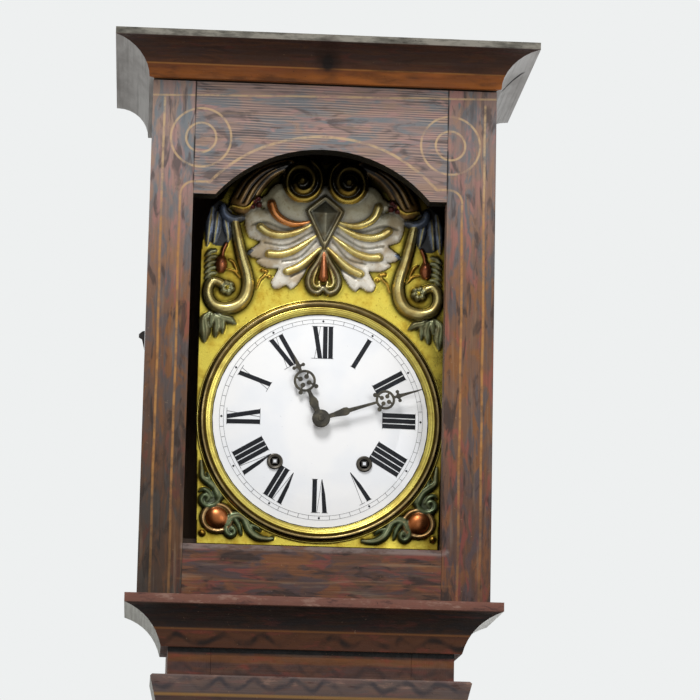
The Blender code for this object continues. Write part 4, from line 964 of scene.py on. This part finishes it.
class Sheet:
    """A stamped sheet: heights and paints over a grid in the dial plane. Forms go on the side in hand."""

    def __init__(self):
        xs = np.arange(-SHEET_HALF, SHEET_HALF + SHEET_STEP / 2, SHEET_STEP)
        zs = np.arange(SHEET_LOW, SHEET_HIGH + SHEET_STEP / 2, SHEET_STEP)
        self.x, self.z = np.meshgrid(xs, zs)
        self.height = np.zeros(self.x.shape)
        self.paint = np.empty(self.x.shape + (4,))
        self.paint[:] = GOLD
        self.side = 1

    def mirrored(self, points):
        return [(self.side * x, z) for x, z in points]

    def raise_to(self, height, colour):
        """Lifts the sheet where a new form stands above it, and paints it there."""
        higher = height > self.height + 0.05
        self.height = np.where(higher, height, self.height)
        self.paint[higher] = np.broadcast_to(colour, self.paint.shape)[higher]

    def dome(self, place, wide, high, lift, colour, turn=0):
        angle = math.radians(self.side * turn)
        dx, dz = self.x - self.side * place[0], self.z - place[1]
        along = (dx * math.cos(angle) + dz * math.sin(angle)) / wide
        across = (dz * math.cos(angle) - dx * math.sin(angle)) / high
        self.raise_to(lift * np.sqrt(np.clip(1.0 - along ** 2 - across ** 2, 0.0, None)), colour)

    def tube(self, points, radii, lift, colour):
        """A rounded ridge along a flowing line; radii run from its start to its end."""
        line = smoothed(self.mirrored(points))
        shares = np.linspace(0.0, 1.0, len(line))
        sizes = np.interp(shares, np.linspace(0.0, 1.0, len(radii)), radii)
        height = np.zeros(self.x.shape)
        for (cx, cz), size in zip(line, sizes):
            columns = slice(*np.searchsorted(self.x[0], (cx - size, cx + size)))
            rows = slice(*np.searchsorted(self.z[:, 0], (cz - size, cz + size)))
            square = ((self.x[rows, columns] - cx) ** 2 + (self.z[rows, columns] - cz) ** 2) / size ** 2
            bump = lift * min(1.0, size / max(radii) + 0.25) * np.sqrt(np.clip(1.0 - square, 0.0, None))
            height[rows, columns] = np.maximum(height[rows, columns], bump)
        self.raise_to(height, colour)

    def groove(self, points, half_width, depth, colour):
        """A soft sunk line."""
        line = [tuple(p) for p in smoothed(self.mirrored(points), 3.0)]
        distance, _ = edge_distance(self.x, self.z, line, closed=False)
        sink = np.clip(1.0 - distance / half_width, 0.0, 1.0)
        self.height = self.height - depth * sink
        self.paint += sink[..., None] * 0.8 * (np.array(colour) - self.paint)

    def veined(self, points, radii, lift, colour, vein):
        """A leaf: a ridge with a sunk line along it."""
        self.tube(points, radii, lift, colour)
        self.groove(points, 1.1, 1.5, vein)

    def darken(self, amount):
        self.paint[..., :3] *= (1.0 - amount)[..., None]


def spiral(centre, start, turns, outer, inner, wide, tall):
    """Points along a spiral that winds inwards, drawn out to an oval."""
    count = int(10 * turns) + 1
    points = []
    for i in range(count + 1):
        share = i / count
        angle = math.radians(start) + share * turns * 2 * math.pi
        radius = outer + (inner - outer) * share
        points.append((centre[0] + wide * radius * math.cos(angle),
                       centre[1] + tall * radius * math.sin(angle)))
    return points


def shell(sheet):
    """The white palmette with gilt ribs in its lobes."""
    corners = sheet.mirrored(tuple(p) for p in smoothed(SHELL, 3.0))
    distance, _ = edge_distance(sheet.x, sheet.z, corners)
    within = inside(sheet.x, sheet.z, corners)
    height = np.where(within, 2.0 + 2.2 * np.clip(distance / 7.0, 0.0, 1.0) ** 0.6, 0.0)
    share = build_up(sheet.z, *SHELL_SHADING)[..., None]
    sheet.raise_to(height, (1.0 - share) * np.array(WHITE) + share * np.array(SHADED_WHITE))
    for crease in CREASES:
        sheet.groove(crease, 1.6, 1.6, SHADED_WHITE)
    for rib in RIBS:
        colour = COPPER if rib is RIBS[0] and sheet.side < 0 else PALE_GOLD
        sheet.tube(rib, (5.2, 4.9, 3.9, 2.1), 8.2, colour)


def volutes(sheet):
    """Horns that come down from the volutes on top, with fluted sides."""
    sheet.tube(HORN, HORN_SIZES, 8.0, HORN_BROWN)
    for share in (-0.55, 0.0, 0.55):
        flute = [(x + share * size * 0.8, z + share * size * 0.6) for (x, z), size in zip(HORN, HORN_SIZES)]
        sheet.groove(flute, 2.2, 2.0, NEAR_BLACK)
    sheet.tube(HORN_MOUTH, (2.0, 2.6, 2.0), 8.8, SHADED_GOLD)
    sheet.tube(spiral(VOLUTE, 115, 1.6, 23, 9, 0.96, 1.06), (3.4, 4.0, 5.2, 4.8), 8.6, SHADED_GOLD)
    sheet.dome((VOLUTE[0], VOLUTE[1] + 1), 6.0, 6.5, 8.5, SHADED_GOLD)


def scroll_work(sheet):
    """The long scroll beside the shell, with its leaves, berry and rosette."""
    sheet.dome((112, 208), 17, 25, 1.6, SHADE, -8)
    for leaf in HANGING_LEAVES:
        sheet.tube(leaf, (2.0, 4.6, 3.6, 1.2), 4.6, BLUE_GREY)
        sheet.groove(leaf, 1.0, 1.2, GOLD)
    for number in range(6):
        level = BARB_TOP - BARB_STEP * number
        sheet.tube(((114, level), (119, level - 1), (124.5, level - 6)), (1.6, 2.4, 1.0), 3.2, PALE_GREEN)
    sheet.tube(BERRY_STALK, (1.8, 1.8), 3.4, BERRY)
    sheet.dome((108, 163.5), 6.0, 9.5, 6.5, BERRY)
    sheet.dome((107, 165), 1.6, 1.6, 7.3, DARK_RED)
    for tendril, sizes, lift in TENDRILS:
        sheet.tube(tendril, sizes, lift, OLD_GOLD)
    for tip in SPRIG_TIPS:
        sheet.dome(tip, 2.6, 2.2, 2.8, OLD_GOLD)
    sheet.tube(SCROLL, (4.6, 5.4, 5.8, 6.4, 6.4, 5.2, 4.4), 8.0, SILVERED)
    for number in range(6):
        angle = math.radians(60 * number + 15)
        petal = (ROSETTE[0] + 5 * math.cos(angle), ROSETTE[1] + 5 * math.sin(angle))
        sheet.dome(petal, 3.4, 3.0, 7.6, PALE_GREEN)
    sheet.dome(ROSETTE, 2.4, 2.4, 9.0, GOLD)
    sheet.tube(CUP, (3.5, 5.0, 5.2, 3.0), 8.2, BLUE_GREY)
    for bud in BUDS:
        sheet.dome(bud, 3.6, 3.2, 9.0, DARK_RED)
    sheet.dome((77, 178), 4.4, 2.6, 4.6, BLUE_GREY, -35)


def foliage(sheet):
    """The leaf under the scroll, and the bottom corner with its boss and leaves."""
    for lobe, sizes in ACANTHUS:
        sheet.veined(lobe, sizes, 4.4, OLIVE, LEAF_GREEN)
    for blade, sizes in BLADES:
        sheet.veined(blade, sizes, 5.0, LEAF_GREEN, PALE_GREEN)
    for place, size in CURL_FILLS:
        sheet.dome(place, size, size, 2.6, LEAF_GREEN)
    for curl in CURLS:
        sheet.tube(curl, (2.8, 3.0, 2.6, 2.0), 4.6, LEAF_GREEN)
    for leaf in LEAFLETS:
        sheet.tube(leaf, (2.6, 2.8, 1.2), 4.2, LEAF_GREEN)
    ring = [(BOSS_PLACE[0] + 15.2 * math.cos(a), BOSS_PLACE[1] + 13.8 * math.sin(a))
            for a in np.linspace(0.0, 2 * math.pi, 25)]
    sheet.tube(ring, (2.3, 2.3), 4.0, RIM_GOLD)
    sheet.dome(BOSS_PLACE, 13.0, 11.6, 8.0, BOSS, 35)
    sheet.dome(CORNER_PEARL, 3.4, 3.4, 3.6, OLD_GOLD)


def heart(sheet):
    sheet.tube(HEART, (2.4, 2.8, 3.0, 2.8), 5.4, PEWTER)
    sheet.tube(HEART_INSIDE, (1.0, 1.6, 1.4), 3.4, SILVERED)


def lozenge(sheet):
    """The rimmed lozenge between the volutes, and the drop under it."""
    sheet.tube(HEART_DROP, (2.0, 3.4, 4.8), 8.6, DROP)
    distance, _ = edge_distance(sheet.x, sheet.z, KITE)
    within = inside(sheet.x, sheet.z, KITE)
    rim = 7.0 + 2.0 * np.sin(np.clip(distance / KITE_RIM, 0.0, 1.0) * math.pi)
    sheet.raise_to(np.where(within, rim, 0.0), PEWTER)
    gem = within & (distance > KITE_RIM)
    sheet.height = np.where(gem, 6.0 + 0.75 * (distance - KITE_RIM), sheet.height)
    sheet.paint[gem] = FACET


def dents_and_painted_shade(sheet):
    """Dents and softened edges, painted shade in the hollows, and the painted shadow of the arch towards the
    top, darker on upward-facing flanks, with a painted reflection spot kept near the horns.
    """
    rough = np.random.default_rng(DENT_SEED).normal(size=sheet.x.shape)
    dents = 0.0
    for reach, depth in DENTS:
        broad = blurred(rough, reach)
        dents = dents + depth * broad / np.abs(broad).max()
    sheet.height = 0.55 * sheet.height + 0.45 * blurred(sheet.height, 1) + dents
    # Painted shade: hollows are darkened below their surroundings.
    hollow_shade = build_up(blurred(sheet.height, 3) - sheet.height, 0.0, 1.5)
    sheet.darken(0.88 * hollow_shade ** 0.8)
    # Painted shadow of the arch: from one height, upward-facing flanks darken; above a higher one, all
    # darkens; near the horns a spot stays lit as a painted reflection.
    facing_down = np.gradient(sheet.height, SHEET_STEP, axis=0)
    metal = sheet.paint[..., 3] > 0.5
    on_metal = np.clip(0.92 - 1.1 * facing_down, 0.0, 0.94)
    on_paint = np.clip(0.45 - 0.6 * facing_down, 0.0, 0.7)
    flank_shade = np.where(metal, on_metal, on_paint) * build_up(sheet.z, *ARCH_SHADE)
    top_shadow = np.where(metal, 0.96, 0.6) * build_up(sheet.z, *ARCH_SHADOW)
    from_spot = np.hypot((np.abs(sheet.x) - GLINT_SPOT[0]) / GLINT_REACH[0],
                         (sheet.z - GLINT_SPOT[1]) / GLINT_REACH[1])
    kept = np.where(metal, 0.0, np.clip(1.2 - from_spot, 0.0, 0.6))
    sheet.darken(np.maximum(flank_shade, top_shadow) * (1.0 - kept))


def frontal_sheet():
    sheet = Sheet()
    for forms in ((foliage, shell, volutes, scroll_work), (heart,)):
        for side in (-1, 1):
            sheet.side = side
            for form in forms:
                form(sheet)
    lozenge(sheet)
    dents_and_painted_shade(sheet)
    return sheet


def frontal_mesh(sheet):
    """The kept cells of the sheet, drawn to its outline, with a turned-back rim."""
    edge = SHEET_EDGE + [(-x, z) for x, z in SHEET_EDGE[-2::-1]]
    centre_x = sheet.x[:-1, :-1] + SHEET_STEP / 2
    centre_z = sheet.z[:-1, :-1] + SHEET_STEP / 2
    kept = inside(centre_x, centre_z, edge) & (np.hypot(centre_x, centre_z) > SHEET_HOLE)
    columns = sheet.x.shape[1]
    rows, across = np.nonzero(kept)
    first = rows * columns + across
    cells = np.stack((first, first + 1, first + columns + 1, first + columns), 1)
    used, cells = np.unique(cells, return_inverse=True)
    bm = bmesh.new()
    layer = bm.verts.layers.float_color.new("paint")
    ys = SHEET_FRONT - sheet.height.ravel()[used]
    verts = []
    for point in zip(sheet.x.ravel()[used], ys, sheet.z.ravel()[used]):
        verts.append(bm.verts.new(point))
    for vert, colour in zip(verts, sheet.paint.reshape(-1, 4)[used]):
        vert[layer] = colour
    for cell in cells.reshape(-1, 4):
        bm.faces.new([verts[i] for i in cell])
    rim = [v for v in bm.verts if v.is_boundary]
    at = np.array([(v.co.x, v.co.z) for v in rim])
    _, near = edge_distance(at[:, 0], at[:, 1], edge)
    for vert, spot, outer in zip(rim, at, near):
        radius = np.hypot(*spot)
        vert.co.x, vert.co.z = spot * SHEET_HOLE / radius if radius < SHEET_HOLE + 3.0 else outer
    border = [e for e in bm.edges if e.is_boundary]
    for vert in bmesh.ops.extrude_edge_only(bm, edges=border)["geom"]:
        if isinstance(vert, bmesh.types.BMVert):
            vert.co.y = SHEET_BACK
            vert[layer] = DARK_GOLD
    for vert in bm.verts:
        vert.co = Vector((vert.co.x + DIAL_X, vert.co.y, vert.co.z + DIAL_Z)) * MM
    return bm


@recipe
def stamped_brass(g):
    """Gilt and painted sheet brass: the paint rubbed thin, the gilding dulled in clouds and scratched."""
    made = g.node("ShaderNodeAttribute", attribute_name="paint")
    g.colour = Value(g, made.outputs["Color"])
    dull = g.mix(1, g.colour, (184, 156, 104), "MULTIPLY")
    cloud = g.noise(3, 45, 5, 0.62)
    scratch = g.noise(9, 700, 3, 0.7, draw=0.12)
    g.coat(cloud.ease(0.42, 0.66, 0, 0.7), dull)
    g.coat(scratch.ease(0.6, 0.75, 0, 0.3), dull)
    g.coat(g.noise(15, 210, 4, 0.7).ease(0.54, 0.70, 0, 0.55), dull)
    roughness = cloud.ease(0.35, 0.7, 0.26, 0.46)
    g.finish(roughness, cloud + scratch * 0.3, 0.35, 0.5, Metallic=Value(g, made.outputs["Alpha"]))


def make_frontal():
    made = frontal_mesh(frontal_sheet())
    piece("stamped_frontal", made, stamped_brass("stamped_brass"), "case", ("brass_frontal",), True)


# Dial figures, bezel and winding bushes. On the dial, r runs outwards and s clockwise, in millimetres.
FIGURE_IN = 63.8
FIGURE_OUT = 98.4
FIGURE_SHIFT = Vector((0.8, 0.0, 1.5))
FIGURE_LIFT = 0.22
STROKE = 4.7
HAIRLINE = 0.36
SERIF = 0.9
LETTER_WIDE = {"I": 5.7, "V": 10.5, "X": 10.5}
NUMERALS = ("XII", "I", "II", "III", "IIII", "V", "VI", "VII", "VIII", "IX", "X", "XI")
TRACK = (101.9, 106.1)
TRACK_STEPS = 180
TICK_HALF = 0.16
DOT = (1.3, 1.4)
BEZEL_PROFILE = ((129.2, -27.7), (129.2, -30.6), (128.9, -31.6), (128.3, -32.0), (127.7, -31.5),
                 (127.4, -30.6), (127.1, -32.2), (126.2, -34.2), (125.0, -35.7), (123.8, -36.2),
                 (122.5, -35.7), (121.3, -34.4), (120.6, -33.0), (120.1, -34.4), (119.4, -35.3),
                 (118.5, -35.2), (118.0, -34.5), (117.4, -35.0), (116.6, -34.8), (116.1, -34.1),
                 (115.5, -34.5), (114.8, -34.0), (114.4, -33.3), (113.6, -33.2), (113.1, -32.2),
                 (112.7, -31.2), (112.7, -27.7))
BEZEL_BROWN = (120.5, 127.3)
BEZEL_GROOVES = ((112.0, 112.9), (120.1, 121.0), (126.9, 127.7))
BUSH_R = 8.4
BUSH_HOLE = 4.7


def dial_front(radius):
    """The y of the domed enamel at a radius."""
    return DIAL_RIM_Y - DIAL_RISE * (1.0 - (radius / DIAL_R) ** 2)


def on_dial(s, y, r, angle):
    """A place on the dial, turned clockwise by an angle, in metres."""
    turn = math.radians(angle)
    x = r * math.sin(turn) + s * math.cos(turn)
    z = r * math.cos(turn) - s * math.sin(turn)
    return Vector((DIAL_X + x, y, DIAL_Z + z)) * MM


def brushed(bm, stations, angle):
    """A flat stroke through (s, half width, r) stations, laid on the dome."""
    rows = []
    for s, half, r in stations:
        row = [on_dial(edge, 0.0, r, angle) + FIGURE_SHIFT * MM for edge in (s - half, s + half)]
        for point in row:
            radius = math.hypot(point.x / MM - DIAL_X, point.z / MM - DIAL_Z)
            point.y = (dial_front(radius) - FIGURE_LIFT) * MM
        rows.append([bm.verts.new(point) for point in row])
    for (a, b), (c, d) in zip(rows, rows[1:]):
        bm.faces.new((a, b, d, c))


def straight(bm, start, end, half, angle, count=7):
    """A stroke of even width from one (s, r) place to another."""
    (s0, r0), (s1, r1) = start, end
    shares = [i / count for i in range(count + 1)]
    brushed(bm, [(s0 + (s1 - s0) * t, half, r0 + (r1 - r0) * t) for t in shares], angle)


def letter(bm, kind, s, angle):
    """One Roman letter: thick and hairline strokes with fine serifs."""
    half, hair = STROKE / 2, HAIRLINE / 2
    lean = LETTER_WIDE[kind] / 2 - half
    low, high = FIGURE_IN, FIGURE_OUT
    left, right = s - lean, s + lean
    if kind == "I":
        straight(bm, (s, low), (s, high), half, angle)
        feet = ((s, low), (s, high))
    elif kind == "V":
        waist = (s - 0.4 * lean, 0.8 * half, low + 0.45 * (high - low))
        brushed(bm, [(s + 0.7, 0.3, low), waist, (left, half, high)], angle)
        straight(bm, (s + 0.8, low), (right + half, high), hair, angle)
        feet = ((left, high), (right + half, high))
    else:
        straight(bm, (right, low), (left, high), half, angle)
        straight(bm, (left, low), (right, high), hair, angle)
        feet = ((right, low), (left, low), (left, high), (right, high))
    for foot, level in feet:
        brushed(bm, [(foot, half + SERIF, level + side * hair) for side in (-1, 1)], angle)


def numeral(bm, letters, angle):
    place = -sum(LETTER_WIDE[kind] for kind in letters) / 2
    for kind in letters:
        letter(bm, kind, place + LETTER_WIDE[kind] / 2, angle)
        place += LETTER_WIDE[kind]


def figures():
    """The hour numerals and the minute track."""
    bm = bmesh.new()
    for hour, letters in enumerate(NUMERALS):
        numeral(bm, letters, 30 * hour)
    wide = math.tan(math.pi / TRACK_STEPS)
    for radius in TRACK:
        edges = (radius - 0.36 * HAIRLINE, radius + 0.36 * HAIRLINE)
        for number in range(TRACK_STEPS):
            brushed(bm, [(0, r * wide, r) for r in edges], 360 / TRACK_STEPS * number)
    middle = sum(TRACK) / 2
    tick = [(0, TICK_HALF, r) for r in TRACK]
    dot = [(0, 0.05, middle - DOT[1]), (0, DOT[0], middle), (0, 0.05, middle + DOT[1])]
    for minute in range(60):
        brushed(bm, tick if minute % 5 else dot, 6 * minute)
    piece("dial_figures", bm, ink("figure_black"), "case")


def skin(bm, rings, closed=False):
    """Faces between neighbouring rings of vertices, and from the last to the first if closed."""
    following = rings[1:] + rings[:1] if closed else rings[1:]
    for near, far in zip(rings, following):
        for i in range(len(near)):
            j = (i + 1) % len(near)
            bm.faces.new((near[i], near[j], far[j], far[i]))


def circle(count):
    return [2 * math.pi * i / count for i in range(count)]


def lathe(bm, profile, centre, segments, closed=False):
    """A turned form about the y axis, from (radius, y) points."""
    rings = []
    for radius, y in profile:
        places = [(centre[0] + radius * math.sin(a), y, centre[1] + radius * math.cos(a))
                  for a in circle(segments)]
        rings.append([bm.verts.new(Vector(place) * MM) for place in places])
    skin(bm, rings, closed)
    return bm


@recipe
def bezel_brass(g):
    """Bright ridges beside a browned half-round."""
    radius = from_point(g.x, g.z, (DIAL_X, DIAL_Z))
    cloud = g.noise(5, 40, 5, 0.65)
    g.colour = g.mix(cloud.ease(0.42, 0.68), (206, 190, 98), (168, 148, 72))
    brown = g.mix(cloud.ease(0.36, 0.62), (150, 132, 88), (112, 96, 62))
    g.coat(radius.band(BEZEL_BROWN[0] * MM, BEZEL_BROWN[1] * MM, 0.3 * MM), brown)
    grooves = [radius.band(low * MM, high * MM, 0.25 * MM) for low, high in BEZEL_GROOVES]
    g.coat(g.largest(grooves), (66, 52, 26))
    g.finish(cloud.ease(0.35, 0.7, 0.22, 0.42), cloud, 0.3, 0.4, Metallic=1)


def bezel():
    made = lathe(bmesh.new(), BEZEL_PROFILE, (DIAL_X, DIAL_Z), 160, closed=True)
    piece("ridged_bezel", made, bezel_brass("bezel_brass"), "case", ("dial_bezel",), True)


def winding_bushes():
    """Turned bushes round the winding squares."""
    metal = polished("grommet_bronze", (74, 70, 64), (40, 37, 33), 0.34, 0.6)
    hole, out = BUSH_HOLE, BUSH_R
    profile = ((hole, 2.0), (hole, -0.9), (hole + 0.5, -1.5), (hole + 1.4, -1.2), (hole + 1.9, -1.7),
               (out - 0.8, -1.8), (out - 0.1, -1.2), (out, -0.4))
    for name, place in zip(("left", "right"), WINDERS):
        seat = dial_front(math.hypot(*place))
        centre = (DIAL_X + place[0], DIAL_Z + place[1])
        bm = lathe(bmesh.new(), [(radius, seat + y) for radius, y in profile], centre, 48)
        piece("winding_bush_" + name, bm, metal, "case", smooth=True)


# The hands: angles at rest, then back and front, and (r, half width) or (radius, y) stations
LAP = 0.06
MINUTE_ANGLE = 72.0
HOUR_ANGLE = 336.0
MINUTE_FORM = {
    "span": (-44.9, -46.0), "roundel": (70.0, 10.2), "crosslet": (84.5, 4.8),
    "body": ((8, 2.2), (13, 2.4), (20, 3.4), (26, 4.4), (29, 3.9), (31, 2.2), (45, 1.7), (60.6, 1.3)),
    "neck": ((79.4, 1.5), (84.0, 1.3)), "spike": ((84.0, 2.2), (91.0, 1.6), (110.0, 0.5)),
    "boss": ((9.4, -44.9), (9.4, -46.4), (8.8, -46.9), (5.0, -47.3), (3.2, -47.4), (3.0, -47.9),
             (0.3, -48.0))}
HOUR_FORM = {
    "span": (-41.5, -42.6), "roundel": (43.5, 11.6), "crosslet": (60.0, 5.2),
    "body": ((7, 2.8), (13, 3.2), (18, 4.8), (22, 4.2), (25, 2.5), (30, 1.9), (32.6, 2.0)),
    "neck": ((54.4, 1.7), (60.0, 1.6)), "spike": ((60.0, 2.2), (65.0, 1.7), (74.0, 0.4)),
    "boss": ((8.4, -41.5), (8.4, -42.2), (7.9, -42.6), (4.0, -42.7))}


def slender(stations):
    """An outline symmetric about the hand's line, from (r, half width) stations."""
    return [(-half, r) for r, half in stations] + [(half, r) for r, half in reversed(stations)]


def disc(s, r, radius):
    return [(s + radius * math.cos(a), r + radius * math.sin(a)) for a in circle(14)]


def bar(start, end, half):
    """An outline for a short straight link."""
    (s0, r0), (s1, r1) = start, end
    long = math.hypot(s1 - s0, r1 - r0)
    across = ((r1 - r0) / long * half, (s0 - s1) / long * half)
    return [(s0 + across[0], r0 + across[1]), (s1 + across[0], r1 + across[1]),
            (s1 - across[0], r1 - across[1]), (s0 - across[0], r0 - across[1])]


class Hand:
    """One hand in the making. Parts that lie on each other step back by laps."""

    def __init__(self, angle, span):
        self.bm = bmesh.new()
        self.angle = angle
        self.back, self.front = span

    def ring(self, places):
        return [self.bm.verts.new(on_dial(*place, self.angle)) for place in places]

    def slab(self, outline, laps=0):
        """A flat part from an outline in s and r."""
        levels = (self.back, self.front + laps * LAP)
        rows = [self.ring([(s, y, r) for s, r in outline]) for y in levels]
        self.bm.faces.new(rows[0])
        self.bm.faces.new(rows[1][::-1])
        skin(self.bm, rows)

    def hoop(self, r, outer, inner):
        """The pierced roundel's ring."""
        section = ((outer, self.back), (outer, self.front), (inner, self.front), (inner, self.back))
        rings = [self.ring([(radius * math.cos(a), y, r + radius * math.sin(a)) for radius, y in section])
                 for a in circle(40)]
        skin(self.bm, rings, closed=True)

    def roundel(self, r, outer):
        """A ring with four buds inside and two knobs on its near side."""
        def at(radius, turn):
            return (radius * math.cos(math.radians(turn)), r + radius * math.sin(math.radians(turn)))

        self.hoop(r, outer, outer - 2.6)
        for turn in (45, 135, 225, 315):
            bud = at(0.42 * outer, turn)
            self.slab(bar(at(outer - 1.0, turn), bud, 1.0), 1)
            self.slab(disc(*bud, 0.22 * outer), 2)
        for turn in (228, -48):
            self.slab(disc(*at(outer + 1.6, turn), 2.3), 1)

    def crosslet(self, r, reach):
        self.slab(bar((-reach, r), (reach, r), 1.2), 1)
        for side in (-1, 1):
            self.slab(disc(side * reach, r, 1.9), 2)
        self.slab(disc(0.0, r, 2.9), 3)


@recipe
def hand_bronze(g):
    """Brown-patinated metal with rubbed lighter spots."""
    patch = g.noise(6, 120, 4, 0.65)
    g.colour = g.mix(patch.ease(0.4, 0.68), (48, 45, 38), (78, 73, 60))
    g.finish(patch.ease(0.35, 0.7, 0.38, 0.6), patch, 0.2, 0.4, Metallic=0.5)


def make_hand(node, angle, form):
    """A pierced hand: its shaped body, roundel, neck, crosslet, spike and boss."""
    made = Hand(angle, form["span"])
    made.slab(slender(form["body"]))
    made.roundel(*form["roundel"])
    made.slab(slender(form["neck"]), 2)
    made.crosslet(*form["crosslet"])
    made.slab(slender(form["spike"]), 4)
    lathe(made.bm, form["boss"], (DIAL_X, DIAL_Z), 40)
    name = "pierced_" + node
    soften(piece(name, made.bm, hand_bronze(name + "_bronze"), node, (node,)), 0.25, 50)


# Ropes of three strands
ROPE_LAY = 9.0
ROPE_SIDES = 12
ROPE_SWELL = 0.14


def twisted_rope(name, node):
    """A three-strand rope along the rope part it stands in for."""
    low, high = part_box(node)
    middle = (low + high) / 2
    radius = (high.x - low.x) / 2
    lay = ROPE_LAY * MM
    count = int((high.z - low.z) / (lay / 6))
    bm = bmesh.new()
    rings = []
    for i in range(count + 1):
        z = low.z + (high.z - low.z) * i / count
        ring = []
        for a in circle(ROPE_SIDES):
            wave = math.cos(3 * (a - 2 * math.pi * z / (3 * lay)))
            swell = radius * (1 - ROPE_SWELL + ROPE_SWELL * wave)
            ring.append(bm.verts.new((middle.x + swell * math.cos(a), middle.y + swell * math.sin(a), z)))
        rings.append(ring)
    skin(bm, rings)
    made = piece(name, bm, bpy.data.materials["hemp_cord"], "case", (node,), True)
    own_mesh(made)


studio()
dress_hood()
dress_case()
dress_movement()
make_frontal()
figures()
bezel()
winding_bushes()
make_hand("minute_hand", MINUTE_ANGLE, MINUTE_FORM)
make_hand("hour_hand", HOUR_ANGLE, HOUR_FORM)
for train in ("going", "strike"):
    twisted_rope(train + "_twisted_rope", train + "_rope")
